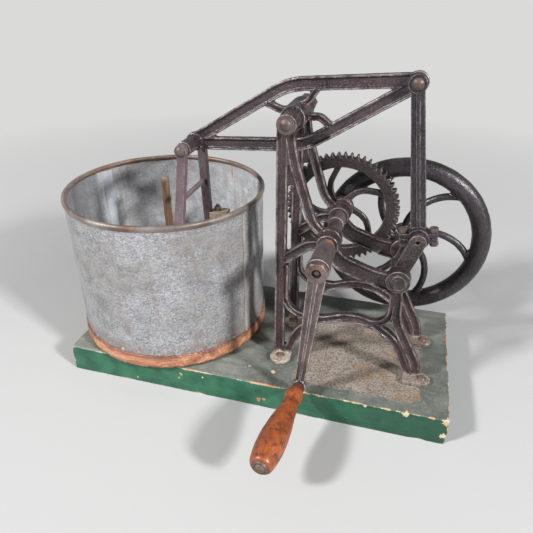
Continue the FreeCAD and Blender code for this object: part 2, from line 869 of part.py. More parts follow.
def pinion():
    y0 = frame_back_y + fly_boss_half + side_gap
    y1 = gear_y + gear_width / 2 + pinion_past_gear
    phase = 180 - gear_drop_angle + 180.0 / pinion_teeth
    face = gear_face(fly_x, fly_z, pinion_teeth, phase)
    face.translate(Vector(0, y0, 0))
    blank = face.extrude(Vector(0, y1 - y0, 0))
    blank = blank.cut(rod_y(fly_x, fly_z, fly_shaft_radius + seat_fit, y0 - 1, y1 + 1))
    return blank.cut(shaft_key_slot(fly_x, fly_z, fly_shaft_radius, y0, y1 - y0))


def pinion_key():
    y0 = frame_back_y + fly_boss_half + side_gap
    y1 = gear_y + gear_width / 2 + pinion_past_gear
    return shaft_key(fly_x, fly_z, fly_shaft_radius, y0, y1 - y0)


# Flywheel and cranked shaft
def throw_web(y0, y1):
    half = web_width / 2
    bar = box(fly_x, fly_x + crank_throw, y0, y1, fly_z - half, fly_z + half)
    bar.rotate(Vector(fly_x, 0, fly_z), Vector(0, 1, 0), -throw_angle)
    ends = [rod_y(fly_x, fly_z, half + web_eye_out, y0, y1), rod_y(pin_x, pin_z, half, y0, y1)]
    return fuse_all([bar] + ends)


def throw_front():
    y0 = frame_front_y - fly_boss_half - shaft_front_proud
    web_front = web_inner_front - web_thickness
    web = throw_web(web_front, web_inner_front)
    web = web.cut(rod_y(pin_x, pin_z, centre_hole_radius, web_front - 1, web_front + centre_hole_depth))
    return web.fuse(rod_y(fly_x, fly_z, fly_shaft_radius, y0, web_inner_front)).removeSplitter()


def throw_rear():
    web = throw_web(web_inner_back, web_inner_back + web_thickness)
    end = flywheel_y + flywheel_hub_length / 2 + shaft_rear_proud
    shaft = web.fuse(rod_y(fly_x, fly_z, fly_shaft_radius, web_inner_back, end)).removeSplitter()
    y0 = frame_back_y + fly_boss_half + side_gap
    return shaft.cut(shaft_key_slot(fly_x, fly_z, fly_shaft_radius, y0, end - y0 + 1))


def flywheel():
    centre_radius = flywheel_radius - flywheel_tube_radius
    centre = Vector(fly_x, flywheel_y, fly_z)
    rim = Part.makeTorus(centre_radius, flywheel_tube_radius, centre, Vector(0, 1, 0))
    y0 = flywheel_y - flywheel_hub_length / 2
    y1 = flywheel_y + flywheel_hub_length / 2
    hub = rod_y(fly_x, fly_z, flywheel_hub_radius, y0, y1)
    wheel = rim
    for i in range(flywheel_spokes):
        wheel = wheel.fuse(flywheel_spoke(flywheel_spoke_angle + i * 360.0 / flywheel_spokes))
    wheel = wheel.fuse(hub)
    wheel = wheel.cut(rod_y(fly_x, fly_z, fly_shaft_radius + seat_fit, y0 - 1, y1 + 1))
    return wheel.cut(shaft_key_slot(fly_x, fly_z, fly_shaft_radius, y0, flywheel_hub_length))


def flywheel_spoke(angle):
    def spot(radius, back):
        turn = math.radians(angle + back)
        return Vector(fly_x + radius * math.cos(turn), flywheel_y, fly_z + radius * math.sin(turn))

    inner = flywheel_hub_radius - 5
    outer = flywheel_radius - flywheel_tube_radius
    path = Part.Arc(
        spot(inner, flywheel_spoke_sweep + 6),
        spot(0.58 * outer, 0.55 * flywheel_spoke_sweep),
        spot(outer, -3),
    ).toShape()
    start = path.valueAt(path.FirstParameter)
    ahead = path.tangentAt(path.FirstParameter)
    section = Part.Wire(Part.makeCircle(flywheel_spoke_radius, start, ahead))
    return Part.Wire(path).makePipeShell([section], True, False)


def flywheel_key():
    y0 = flywheel_y - flywheel_hub_length / 2
    return shaft_key(fly_x, fly_z, fly_shaft_radius, y0, flywheel_hub_length)


# Connecting rod; the crank pin stays with it, a hair clear of both webs
def crank_pin():
    y0 = web_inner_front + side_gap
    y1 = web_inner_back - side_gap
    return rod_y(pin_x, pin_z, crank_pin_radius, y0, y1)


def rod_frame(solid):
    lean = math.degrees(math.atan2(pin_x - wrist_x, wrist_z - pin_z))
    solid.rotate(Vector(0, 0, 0), Vector(0, 1, 0), -lean)
    solid.translate(Vector(pin_x, rod_plane_y, pin_z))
    return solid


def big_end_blank():
    half = big_end_width / 2
    ring = rod_y(0, 0, big_end_radius, -half, half)
    lug_back = half - lug_step
    lugs = box(-lug_reach, lug_reach, -lug_back, lug_back, -lug_height / 2, lug_height / 2)
    blank = ring.fuse(lugs)
    blank = blank.cut(rod_y(0, 0, crank_pin_radius + seat_fit, -half - 1, half + 1))
    for x in rod_bolt_places():
        blank = blank.cut(rod_z(x, 0, rod_bolt_radius + seat_fit, -40, 40))
    return blank


def rod_bolt_places():
    middle = (big_end_radius + lug_reach) / 2
    return [-middle, middle]


def connecting_rod():
    upper = big_end_blank().common(box(-60, 60, -30, 30, cap_gap, 60))
    half_top = rod_flange_top / 2
    half_foot = rod_flange_foot / 2
    half_flange = rod_flange_depth / 2
    half_rib = rod_rib_width / 2
    low = big_end_radius - 2
    high = rod_length
    blade = [(-half_foot, low), (half_foot, low), (half_top, high), (-half_top, high)]
    flange = prism_y(blade, -half_flange, half_flange)
    rib = box(-half_rib, half_rib, -rod_depth / 2, rod_depth / 2, low, high)
    eye = rod_y(0, rod_length, rod_eye_radius, -rod_depth / 2, rod_depth / 2)
    rod = fuse_all([upper, flange, rib, eye])
    rod = rod.cut(rod_y(0, rod_length, wrist_pin_radius + running_fit, -20, 20))
    return rod_frame(rod)


def rod_cap():
    return rod_frame(big_end_blank().common(box(-60, 60, -30, 30, -60, -cap_gap)).removeSplitter())


def rod_bolts():
    bolts = []
    half = lug_height / 2
    for x in rod_bolt_places():
        shank = rod_z(x, 0, rod_bolt_radius, -half - rod_nut_height - 1, half + seat_fit)
        head = hexagon_z(x, 0, rod_nut_across, half + seat_fit, half + rod_nut_height)
        bolts.append(rod_frame(shank.fuse(head).removeSplitter()))
    return bolts


def rod_nuts():
    nuts = []
    high = -lug_height / 2 - seat_fit
    for x in rod_bolt_places():
        nut = hexagon_z(x, 0, rod_nut_across, high - rod_nut_height, high)
        nuts.append(rod_frame(nut.cut(rod_z(x, 0, rod_bolt_radius + seat_fit, high - 20, high + 1))))
    return nuts


# Walking beam, drawn level about its pivot and then tilted to its resting place
def beam_spot(along, up):
    x = pivot_x + along * beam_cos - up * beam_sin
    z = pivot_z + along * beam_sin + up * beam_cos
    return x, z


def beam_path(corners):
    return [beam_spot(c[0], c[1]) + tuple(c[2:]) for c in corners]


def beam_members():
    left = -beam_left_length
    right = beam_right_length
    upper = [(left, 2), (0, beam_upper_knee, 75), (right, 2)]
    lower = [(left, -2), (0, -beam_lower_knee, 60), (right, -2)]
    saddle = beam_upper_knee - 8
    top_saddle = [(-29, saddle - 4), (-13, 7, 16), (16, 9, 15), (32, saddle - 2)]
    right_arm = [(10, -5), (25, -9, 12), (35, -beam_lower_knee + 10)]
    left_arm = [(-10, -5), (-20, -11, 10), (-28, -beam_lower_knee + 10)]
    wide = [(beam_path(upper), beam_member_width), (beam_path(lower), beam_member_width)]
    narrow = [(beam_path(path), beam_saddle_width) for path in (top_saddle, right_arm, left_arm)]
    return wide + narrow


def walking_beam():
    y0 = beam_y - beam_depth / 2
    y1 = beam_y + beam_depth / 2
    hub_front = frame_front_y + pivot_boss_back + side_gap
    hub_back = frame_back_y - pivot_boss_forward - side_gap
    barrel_front = beam_y - yoke_front_reach
    barrel_back = beam_y + yoke_back_reach - side_gap
    eyes = [rod_y(wrist_x, wrist_z, beam_eye_radius, y0, y1), rod_y(yoke_x, yoke_z, beam_eye_radius, y0, y1)]
    beam = ribbed_casting(beam_members(), eyes, beam_y, beam_depth)
    bosses = [
        rod_y(wrist_x, wrist_z, rod_eye_radius, y0, y1),
        rod_y(yoke_x, yoke_z, yoke_barrel_radius, barrel_front, barrel_back),
        rod_y(pivot_x, pivot_z, beam_hub_radius, hub_front, hub_back),
    ]
    beam = beam.multiFuse(bosses)
    beam = beam.cut(rod_y(pivot_x, pivot_z, pivot_bolt_radius + running_fit, hub_front - 1, hub_back + 1))
    beam = beam.cut(rod_y(wrist_x, wrist_z, wrist_pin_radius + seat_fit, y0 - 1, y1 + 1))
    beam = beam.cut(rod_y(yoke_x, yoke_z, yoke_pin_radius + seat_fit, barrel_front - 1, barrel_back + 1))
    return beam.removeSplitter()


# A pin along Y with a domed head; its height runs back from the outer face of the head
def domed_pin(x, z, head_radius, head_height, y_face, pin_radius, y_end):
    ball = (head_radius**2 + head_height**2) / (2 * head_height)
    half_turn = math.asin(head_radius / ball) / 2
    crown = y_face - head_height
    middle = Vector(ball * math.sin(half_turn), crown + ball * (1 - math.cos(half_turn)), 0)
    edges = [Part.Arc(Vector(0, crown, 0), middle, Vector(head_radius, y_face, 0)).toShape()]
    corners = [(head_radius, y_face), (pin_radius, y_face), (pin_radius, y_end), (0, y_end), (0, crown)]
    spots = [Vector(r, y, 0) for r, y in corners]
    for a, b in zip(spots, spots[1:]):
        edges.append(Part.LineSegment(a, b).toShape())
    pin = Part.Face(Part.Wire(edges)).revolve(Vector(0, 0, 0), Vector(0, 1, 0), 360)
    pin.translate(Vector(x, 0, z))
    return pin


def beam_pivot_bolt():
    y0 = frame_front_y - pivot_boss_forward - seat_fit
    y1 = frame_back_y + pivot_boss_back + pivot_bolt_past_boss
    face = y0 - pivot_head_height
    inner = pivot_crown_radius - 1
    crown = domed_pin(pivot_x, pivot_z, pivot_crown_radius, pivot_head_height, face, inner, y0)
    head = rod_y(pivot_x, pivot_z, pivot_head_radius, face, y0)
    shank = rod_y(pivot_x, pivot_z, pivot_bolt_radius, face, y1)
    return fuse_all([crown, head, shank])


def beam_pivot_nut():
    y0 = frame_back_y + pivot_boss_back + seat_fit
    y1 = y0 + pivot_nut_height
    nut = hexagon_y(pivot_x, pivot_z, 2 * pivot_head_radius, y0, y1)
    return nut.cut(rod_y(pivot_x, pivot_z, pivot_bolt_radius + seat_fit, y0 - 1, y1 + 1))


def rod_wrist_pin():
    y0 = rod_front - side_gap
    y1 = beam_y + beam_depth / 2 + 2
    return domed_pin(wrist_x, wrist_z, wrist_head_radius, wrist_head_height, y0, wrist_pin_radius, y1)


# Knife yoke
def yoke_front_y():
    return beam_y - yoke_front_reach - side_gap - yoke_arm_depth / 2


def yoke_back_y():
    return beam_y + yoke_back_reach + yoke_arm_depth / 2


def blade_low():
    return drum_floor + blade_floor_gap


def blade_high():
    return blade_low() + blade_height


def yoke_pin():
    y0 = yoke_front_y() - yoke_arm_depth / 2 - side_gap
    y1 = yoke_back_y() + yoke_arm_depth / 2 + side_gap
    y2 = y1 + yoke_pin_end_height
    pin = domed_pin(yoke_x, yoke_z, yoke_pin_head_radius, yoke_pin_head_height, y0, yoke_pin_radius, y2)
    return pin.fuse(rod_y(yoke_x, yoke_z, yoke_pin_head_radius - 0.5, y1, y2)).removeSplitter()


def yoke_side_y(side):
    return yoke_front_y() if side < 0 else yoke_back_y()


def yoke_bend():
    return blade_high() + 4


# Where an arm's middle lies at a height; side is -1 for the front arm and 1 for the back
def arm_middle_at(z, side):
    neck = yoke_z - yoke_neck
    share = min(1.0, max(0.0, (neck - z) / (neck - yoke_bend())))
    return Vector(yoke_x - yoke_arm_lean * share, yoke_side_y(side) + side * yoke_arm_splay * share, z)


# One straight run of an arm, the same section carried from one height to another
def arm_run(side, z_from, z_to):
    start = arm_middle_at(z_from, side)
    half_x = yoke_arm_width / 2
    half_y = yoke_arm_depth / 2
    signs = ((-1, -1), (1, -1), (1, 1), (-1, 1))
    corners = [start + Vector(sx * half_x, sy * half_y, 0) for sx, sy in signs]
    face = Part.Face(Part.makePolygon(corners + [corners[0]]))
    return face.extrude(arm_middle_at(z_to, side) - start)


def yoke_arm(side):
    y = yoke_side_y(side)
    neck = yoke_z - yoke_neck
    runs = [arm_run(side, yoke_z, neck), arm_run(side, neck, yoke_bend())]
    runs.append(arm_run(side, yoke_bend(), blade_low() + arm_foot_rise))
    eye = rod_y(yoke_x, yoke_z, yoke_eye_radius, y - yoke_arm_depth / 2, y + yoke_arm_depth / 2)
    arm = fuse_all([eye] + runs)
    arm = arm.cut(rod_y(yoke_x, yoke_z, yoke_pin_radius + running_fit, y - 20, y + 20))
    for rivet in rivet_solids(rivet_radius + seat_fit):
        arm = arm.cut(rivet)
    return arm.removeSplitter()


def blade_x():
    return arm_middle_at(blade_low(), -1).x + yoke_arm_width / 2 + seat_fit


def knife_blade():
    front = arm_middle_at(blade_low(), -1).y - yoke_arm_depth / 2 - blade_overhang
    back = arm_middle_at(blade_low(), 1).y + yoke_arm_depth / 2 + blade_overhang
    x0 = blade_x()
    x1 = x0 + blade_thickness
    blade = box(x0, x1, front, back, blade_low(), blade_high())
    bevel = Part.makePolygon(
        [
            Vector(x0 + 0.4, front - 1, blade_low()),
            Vector(x1 + 1, front - 1, blade_low()),
            Vector(x1 + 1, front - 1, blade_low() + blade_bevel * 1.5),
            Vector(x1, front - 1, blade_low() + blade_bevel),
            Vector(x0 + 0.4, front - 1, blade_low()),
        ]
    )
    blade = blade.cut(Part.Face(bevel).extrude(Vector(0, back - front + 2, 0)))
    for rivet in rivet_solids(rivet_radius + seat_fit):
        blade = blade.cut(rivet)
    return blade


def rivet_solids(radius):
    solids = []
    for side in (-1, 1):
        for z in (blade_low() + rivet_low_rise, blade_high() - rivet_high_drop):
            middle = arm_middle_at(z, side)
            length = yoke_arm_width + seat_fit + blade_thickness
            start = Vector(middle.x - yoke_arm_width / 2, middle.y, z)
            solids.append(Part.makeCylinder(radius, length, start, Vector(1, 0, 0)))
    return solids


def knife_rivets():
    rivets = []
    for shank in rivet_solids(rivet_radius):
        middle = shank.BoundBox.Center
        start = Vector(shank.BoundBox.XMin - seat_fit, middle.y, middle.z)
        end = Vector(shank.BoundBox.XMax + seat_fit, middle.y, middle.z)
        ahead = Vector(1, 0, 0)
        head_radius = rivet_radius + rivet_head_out
        head = Part.makeCone(head_radius, rivet_radius, rivet_head_height, end, ahead)
        tail = Part.makeCone(head_radius, rivet_radius, rivet_tail_height, start, -ahead)
        body = Part.makeCylinder(rivet_radius, end.x - start.x, start, ahead)
        rivets.append(fuse_all([body, head, tail]))
    return rivets


def yoke_cross_bar(arms):
    z = yoke_z - yoke_bar_drop
    half_z = yoke_bar_height / 2
    half_x = yoke_bar_thickness / 2
    front = arm_middle_at(z, -1)
    back = arm_middle_at(z, 1)
    bar = box(front.x - half_x, front.x + half_x, front.y, back.y, z - half_z, z + half_z)
    return bar.cut(arms[0]).cut(arms[1])


# Wooden block let a little way over the back arm, with a bolt standing through it
def guide_block(arm):
    place = block_bolt_place()
    low = place.z - block_height
    half = block_depth / 2
    x0 = arm_middle_at(place.z, 1).x + yoke_arm_width / 2 - block_notch
    x1 = x0 + block_length
    block = box(x0, x1, place.y - half, place.y + half, low, place.z).cut(arm)
    return block.cut(rod_z(place.x, place.y, block_bolt_radius + seat_fit, low - 1, place.z + 1))


def block_bolt_place():
    top = yoke_z - block_top_drop
    middle = arm_middle_at(top - block_height / 2, 1)
    return Vector(arm_middle_at(top, 1).x + yoke_arm_width / 2 + block_bolt_out, middle.y, top)


def guide_bolt():
    place = block_bolt_place()
    low = place.z - block_height
    shank = rod_z(place.x, place.y, block_bolt_radius, low - 1, place.z + block_bolt_proud)
    head = hexagon_z(place.x, place.y, block_nut_across, low - block_head_height, low - seat_fit)
    return shank.fuse(head).removeSplitter()


def guide_nut():
    place = block_bolt_place()
    top = place.z + block_nut_height
    nut = hexagon_z(place.x, place.y, block_nut_across, place.z + seat_fit, top)
    return nut.cut(rod_z(place.x, place.y, block_bolt_radius + seat_fit, place.z - 1, top + 1))


# Every node, written to its own file
arms = [yoke_arm(-1), yoke_arm(1)]
save("base_board", base_board())
save("drum_pivot_pin", drum_pivot_pin())
save("drum_washer", drum_washer())
save("drum_disc", drum_disc())
save("drum_wall", drum_wall())
save("drum_rim_wire", drum_rim_wire())
save("drum_seam", drum_seam())
save("drum_lap", drum_lap())
save("drum_nails", [nail_solid(a, nail_shank_radius, nail_head_radius) for a in nail_angles()])
save("centre_post", centre_post())
save("front_frame", side_frame(frame_front_y))
save("back_frame", side_frame(frame_back_y))
save("frame_screws", frame_screws())
save("main_shaft", main_shaft())
save("shaft_sleeve", shaft_sleeve())
save("crank_arm", crank_arm())
save("crank_nut", crank_nut())
save("grip", grip())
save("grip_spindle", grip_spindle())
save("grip_washer", grip_washer())
save("drive_gear", drive_gear())
save("gear_key", shaft_key(main_x, main_z, main_shaft_radius, gear_front, gear_hub_length))
save("pinion", pinion())
save("pinion_key", pinion_key())
save("throw_front", throw_front())
save("throw_rear", throw_rear())
save("flywheel", flywheel())
save("flywheel_key", flywheel_key())
save("crank_pin", crank_pin())
save("connecting_rod", connecting_rod())
save("rod_cap", rod_cap())
save("rod_bolts", rod_bolts())
save("rod_nuts", rod_nuts())
save("walking_beam", walking_beam())
save("beam_pivot_bolt", beam_pivot_bolt())
save("beam_pivot_nut", beam_pivot_nut())
save("rod_wrist_pin", rod_wrist_pin())
save("yoke_pin", yoke_pin())
save("yoke_front_arm", arms[0])
save("yoke_back_arm", arms[1])
save("yoke_cross_bar", yoke_cross_bar(arms))
save("knife_blade", knife_blade())
save("knife_rivets", knife_rivets())
save("guide_block", guide_block(arms[1]))
save("guide_bolt", guide_bolt())
save("guide_nut", guide_nut())
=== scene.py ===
import bpy
import bmesh
import math
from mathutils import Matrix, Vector, noise


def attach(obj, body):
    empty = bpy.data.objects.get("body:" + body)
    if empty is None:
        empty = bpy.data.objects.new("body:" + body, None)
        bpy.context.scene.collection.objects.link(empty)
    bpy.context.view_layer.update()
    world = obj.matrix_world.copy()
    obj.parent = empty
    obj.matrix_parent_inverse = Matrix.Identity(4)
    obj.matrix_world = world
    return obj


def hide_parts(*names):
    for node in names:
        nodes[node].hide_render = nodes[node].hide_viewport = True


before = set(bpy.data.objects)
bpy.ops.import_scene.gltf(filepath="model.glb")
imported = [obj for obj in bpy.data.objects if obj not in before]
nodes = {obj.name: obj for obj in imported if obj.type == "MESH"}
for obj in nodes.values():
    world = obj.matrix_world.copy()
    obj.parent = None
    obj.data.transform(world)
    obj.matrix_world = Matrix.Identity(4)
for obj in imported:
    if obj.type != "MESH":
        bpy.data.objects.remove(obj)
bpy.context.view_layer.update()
print("frame loaded,", len(nodes), "nodes")


# small helpers for shader trees

def place(tree, kind, plugs=None, **settings):
    node = tree.nodes.new("ShaderNode" + kind)
    for name, value in settings.items():
        setattr(node, name, value)
    plug(tree, node, plugs)
    return node


def plug(tree, node, plugs):
    for name, value in (plugs or {}).items():
        if isinstance(value, bpy.types.NodeSocket):
            tree.links.new(value, node.inputs[name])
        else:
            node.inputs[name].default_value = value


def sums(tree, operation, *values):
    return place(tree, "Math", dict(enumerate(values)), operation=operation).outputs[0]


def fade(tree, value, low, high, toLow=0.0, toHigh=1.0):
    return place(tree, "MapRange", {0: value, 1: low, 2: high, 3: toLow, 4: toHigh}).outputs[0]


def weaken(tree, mask, share):
    return fade(tree, mask, 0.0, 1.0, 0.0, share)


def tint(tree, factor, a, b):
    return place(tree, "Mix", {0: factor, 6: a, 7: b}, data_type="RGBA").outputs[2]


def cloud(tree, where, scale, detail=4.0, rough=0.55, bend=0.0):
    plugs = {"Vector": where, "Scale": scale, "Detail": detail, "Roughness": rough, "Distortion": bend}
    return place(tree, "TexNoise", plugs).outputs["Fac"]


def stretched(tree, where, x, y, z, turn=0.0):
    plugs = {"Vector": where, "Scale": (x, y, z), "Rotation": (0.0, 0.0, math.radians(turn))}
    return place(tree, "Mapping", plugs).outputs[0]


def partOf(tree, where, index):
    return place(tree, "SeparateXYZ", {0: where}).outputs[index]


def distance(tree, where, point):
    return place(tree, "VectorMath", {0: where, 1: point}, operation="DISTANCE").outputs["Value"]


def howLong(tree, vector):
    return place(tree, "VectorMath", {0: vector}, operation="LENGTH").outputs["Value"]


def tear(tree, value, texture, amount, middle=0.5):
    # shifts a measure by a noise, so that the edge it draws is ragged
    shift = sums(tree, "MULTIPLY", sums(tree, "SUBTRACT", texture, middle), amount)
    return sums(tree, "ADD", value, shift)


def blot(tree, away, texture, amount, none, full, share=1.0):
    # a mask that is full close by and has a ragged edge
    return fade(tree, tear(tree, away, texture, amount), none, full, 0.0, share)


def startGroup(name, inputs, outputs):
    group = bpy.data.node_groups.new(name, "ShaderNodeTree")
    for label, value in inputs.items():
        kind = "NodeSocketVector" if isinstance(value, tuple) else "NodeSocketFloat"
        group.interface.new_socket(label, in_out="INPUT", socket_type=kind).default_value = value
    for label, kind in outputs.items():
        group.interface.new_socket(label, in_out="OUTPUT", socket_type="NodeSocket" + kind)
    ins = group.nodes.new("NodeGroupInput").outputs
    outs = group.nodes.new("NodeGroupOutput").inputs
    return group, ins, outs


def use(tree, group, plugs=None):
    node = tree.nodes.new("ShaderNodeGroup")
    node.node_tree = group
    plug(tree, node, plugs)
    return node.outputs


# effects shared by the finishes

def makeEdgeSense():
    # soft corners for the shading, a mask of the worn corners and one of the inner corners
    tree, ins, outs = startGroup(
        "edgeSense", {"Radius": 0.0008, "Reach": 0.005},
        {"Normal": "Vector", "Edge": "Float", "Hollow": "Float"})
    soft = place(tree, "Bevel", {"Radius": ins["Radius"]}, samples=6).outputs[0]
    face = place(tree, "NewGeometry").outputs
    same = place(tree, "VectorMath", {0: soft, 1: face["Normal"]}, operation="DOT_PRODUCT").outputs["Value"]
    corner = fade(tree, same, 0.995, 0.82)
    shade = place(tree, "AmbientOcclusion", {"Distance": ins["Reach"]}, samples=6, only_local=True)
    openness = shade.outputs["AO"]
    tree.links.new(soft, outs["Normal"])
    tree.links.new(sums(tree, "MULTIPLY", corner, fade(tree, openness, 0.5, 0.8)), outs["Edge"])
    tree.links.new(fade(tree, openness, 0.85, 0.3), outs["Hollow"])
    return tree


def makeRimSense():
    # masks from the curvature of a dense cast skin: proud ribs and corners, and hollows
    tree, ins, outs = startGroup(
        "rimSense", {"Start": 0.515, "Full": 0.575}, {"Edge": "Float", "Hollow": "Float"})
    bend = place(tree, "NewGeometry").outputs["Pointiness"]
    tree.links.new(fade(tree, bend, ins["Start"], ins["Full"]), outs["Edge"])
    shade = place(tree, "AmbientOcclusion", {"Distance": 0.012}, samples=6, only_local=True).outputs["AO"]
    sunk = sums(tree, "MAXIMUM", fade(tree, bend, 0.488, 0.43), fade(tree, shade, 0.88, 0.35))
    tree.links.new(sunk, outs["Hollow"])
    return tree


def makeMottle():
    tree, ins, outs = startGroup(
        "mottle", {"Vector": (0.0, 0.0, 0.0), "Scale": 30.0},
        {"Broad": "Float", "Medium": "Float", "Fine": "Float"})
    for label, times, rough in (("Broad", 1.0, 0.6), ("Medium", 4.3, 0.6), ("Fine", 19.0, 0.7)):
        size = sums(tree, "MULTIPLY", ins["Scale"], times)
        tree.links.new(cloud(tree, ins["Vector"], size, 5.0, rough), outs[label])
    return tree


def makeSpots():
    # scattered round marks of uneven size, ragged by a noise
    tree, ins, outs = startGroup(
        "spots", {"Vector": (0.0, 0.0, 0.0), "Scale": 200.0, "Size": 0.25, "Share": 0.3},
        {"Mask": "Float"})
    finer = sums(tree, "MULTIPLY", ins["Scale"], 2.0)
    torn = place(tree, "TexNoise", {"Vector": ins["Vector"], "Scale": finer}).outputs["Color"]
    shift = place(tree, "VectorMath", {0: torn, "Scale": 0.0018}, operation="SCALE").outputs[0]
    where = place(tree, "VectorMath", {0: ins["Vector"], 1: shift}, operation="ADD").outputs[0]
    cell = place(tree, "TexVoronoi", {"Vector": where, "Scale": ins["Scale"]})
    chance = place(tree, "SeparateColor", {0: cell.outputs["Color"]}).outputs
    size = sums(tree, "MULTIPLY", ins["Size"], fade(tree, chance[1], 0.0, 1.0, 0.35, 1.0))
    inside = fade(tree, sums(tree, "DIVIDE", cell.outputs["Distance"], size), 1.1, 0.7)
    chosen = sums(tree, "LESS_THAN", chance[0], ins["Share"])
    tree.links.new(sums(tree, "MULTIPLY", inside, chosen), outs["Mask"])
    return tree


def makeRust():
    # patches of rust that start in the inner corners, with their own colours
    tree, ins, outs = startGroup(
        "rust", {"Vector": (0.0, 0.0, 0.0), "Scale": 60.0, "Amount": 0.4, "Hollow": 0.0},
        {"Mask": "Float", "Color": "Color"})
    patch = cloud(tree, ins["Vector"], ins["Scale"], 7.0, 0.68, 0.4)
    start = sums(tree, "SUBTRACT", 0.86, sums(tree, "MULTIPLY", ins["Amount"], 0.45))
    raised = sums(tree, "ADD", patch, sums(tree, "MULTIPLY", ins["Hollow"], 0.16))
    mask = fade(tree, sums(tree, "SUBTRACT", raised, start), -0.05, 0.08)
    shades = cloud(tree, ins["Vector"], sums(tree, "MULTIPLY", ins["Scale"], 6.0), 4.0, 0.7)
    colour = place(tree, "ValToRGB", {0: shades})
    ramp(colour, ((0.3, (0.055, 0.022, 0.014)), (0.52, (0.16, 0.06, 0.028)), (0.75, (0.33, 0.13, 0.05))))
    tree.links.new(mask, outs["Mask"])
    tree.links.new(colour.outputs[0], outs["Color"])
    return tree


def ramp(node, stops):
    bar = node.color_ramp.elements
    while len(bar) > 1:
        bar.remove(bar[0])
    bar[0].position, bar[0].color = stops[0][0], (*stops[0][1], 1.0)
    for where, colour in stops[1:]:
        bar.new(where).color = (*colour, 1.0)


def makeCastSkin():
    # sand-cast surface: fine grain with shallow pits, as a height
    tree, ins, outs = startGroup(
        "castSkin", {"Vector": (0.0, 0.0, 0.0), "Scale": 1.0}, {"Height": "Float", "Pits": "Float"})
    grain = cloud(tree, ins["Vector"], sums(tree, "MULTIPLY", ins["Scale"], 900.0), 3.0, 0.6)
    lumps = cloud(tree, ins["Vector"], sums(tree, "MULTIPLY", ins["Scale"], 130.0), 4.0, 0.6)
    size = sums(tree, "MULTIPLY", ins["Scale"], 420.0)
    cell = place(tree, "TexVoronoi", {"Vector": ins["Vector"], "Scale": size}, feature="SMOOTH_F1")
    pits = fade(tree, cell.outputs["Distance"], 0.32, 0.1)
    height = sums(tree, "ADD", sums(tree, "MULTIPLY", grain, 0.35), lumps)
    tree.links.new(sums(tree, "SUBTRACT", height, sums(tree, "MULTIPLY", pits, 0.45)), outs["Height"])
    tree.links.new(pits, outs["Pits"])
    return tree


def makeWoodGrain():
    # grain runs along the X of the vector that comes in
    tree, ins, outs = startGroup(
        "woodGrain", {"Vector": (0.0, 0.0, 0.0), "Scale": 1.0},
        {"Bands": "Float", "Streaks": "Float", "Pores": "Float", "Height": "Float"})
    size = place(tree, "VectorMath", {0: ins["Vector"], "Scale": ins["Scale"]}, operation="SCALE").outputs[0]
    bands = cloud(tree, stretched(tree, size, 5.0, 70.0, 70.0), 1.0, 4.0, 0.55, 0.6)
    streaks = cloud(tree, stretched(tree, size, 22.0, 520.0, 520.0), 1.0, 4.0, 0.65, 0.2)
    pores = fade(tree, cloud(tree, stretched(tree, size, 90.0, 1500.0, 1500.0), 1.0, 2.0, 0.5), 0.62, 0.72)
    height = sums(tree, "SUBTRACT", streaks, sums(tree, "MULTIPLY", pores, 0.6))
    for label, value in (("Bands", bands), ("Streaks", streaks), ("Pores", pores), ("Height", height)):
        tree.links.new(value, outs[label])
    return tree


def makeScratches():
    # thin scores, mostly along the X of the vector that comes in
    tree, ins, outs = startGroup(
        "scratches", {"Vector": (0.0, 0.0, 0.0), "Scale": 1.0}, {"Mask": "Float"})
    size = place(tree, "VectorMath", {0: ins["Vector"], "Scale": ins["Scale"]}, operation="SCALE").outputs[0]
    lines = cloud(tree, stretched(tree, size, 9.0, 900.0, 900.0, 4.0), 1.0, 2.0, 0.4, 0.1)
    where = cloud(tree, size, 30.0, 3.0, 0.6)
    mask = sums(tree, "MULTIPLY", fade(tree, lines, 0.62, 0.7), fade(tree, where, 0.5, 0.62))
    tree.links.new(mask, outs["Mask"])
    return tree


def makeAroundDrum():
    # unrolls a place on the drum: length round it, height, distance from its middle
    tree, ins, outs = startGroup(
        "aroundDrum", {"Vector": (0.0, 0.0, 0.0), "Middle": (0.0, 0.0, 0.0), "Radius": 0.126},
        {"Vector": "Vector", "Angle": "Float", "Out": "Float", "Height": "Float"})
    off = place(tree, "VectorMath", {0: ins["Vector"], 1: ins["Middle"]}, operation="SUBTRACT").outputs[0]
    part = place(tree, "SeparateXYZ", {0: off}).outputs
    angle = sums(tree, "ARCTAN2", part[1], part[0])
    out = howLong(tree, place(tree, "CombineXYZ", {0: part[0], 1: part[1]}).outputs[0])
    along = sums(tree, "MULTIPLY", angle, ins["Radius"])
    rolled = place(tree, "CombineXYZ", {0: along, 1: part[2], 2: out}).outputs[0]
    for label, value in (("Vector", rolled), ("Angle", angle), ("Out", out), ("Height", part[2])):
        tree.links.new(value, outs[label])
    return tree


edgeSense = makeEdgeSense()
rimSense = makeRimSense()
mottle = makeMottle()
spots = makeSpots()
rust = makeRust()
castSkin = makeCastSkin()
woodGrain = makeWoodGrain()
scratches = makeScratches()
aroundDrum = makeAroundDrum()
print("shared effects built")


def startFinish(name):
    material = bpy.data.materials.new(name)
    material.use_nodes = True
    tree = material.node_tree
    shader = tree.nodes["Principled BSDF"]
    where = place(tree, "TexCoord").outputs["Object"]
    return material, tree, shader, where


def finishSurface(tree, shader, colour, rough, height, depth, normal=None):
    bump = place(tree, "Bump", {"Height": height, "Distance": depth, "Strength": 1.0})
    if normal is not None:
        tree.links.new(normal, bump.inputs["Normal"])
    plug(tree, shader, {"Base Color": colour, "Roughness": rough, "Normal": bump.outputs[0]})


def rustOn(tree, where, scale, amount, hollow=0.0):
    return use(tree, rust, {"Vector": where, "Scale": scale, "Amount": amount, "Hollow": hollow})


def grey(value):
    return (value, value, value, 1.0)


def rgb(*parts):
    return (*parts, 1.0)


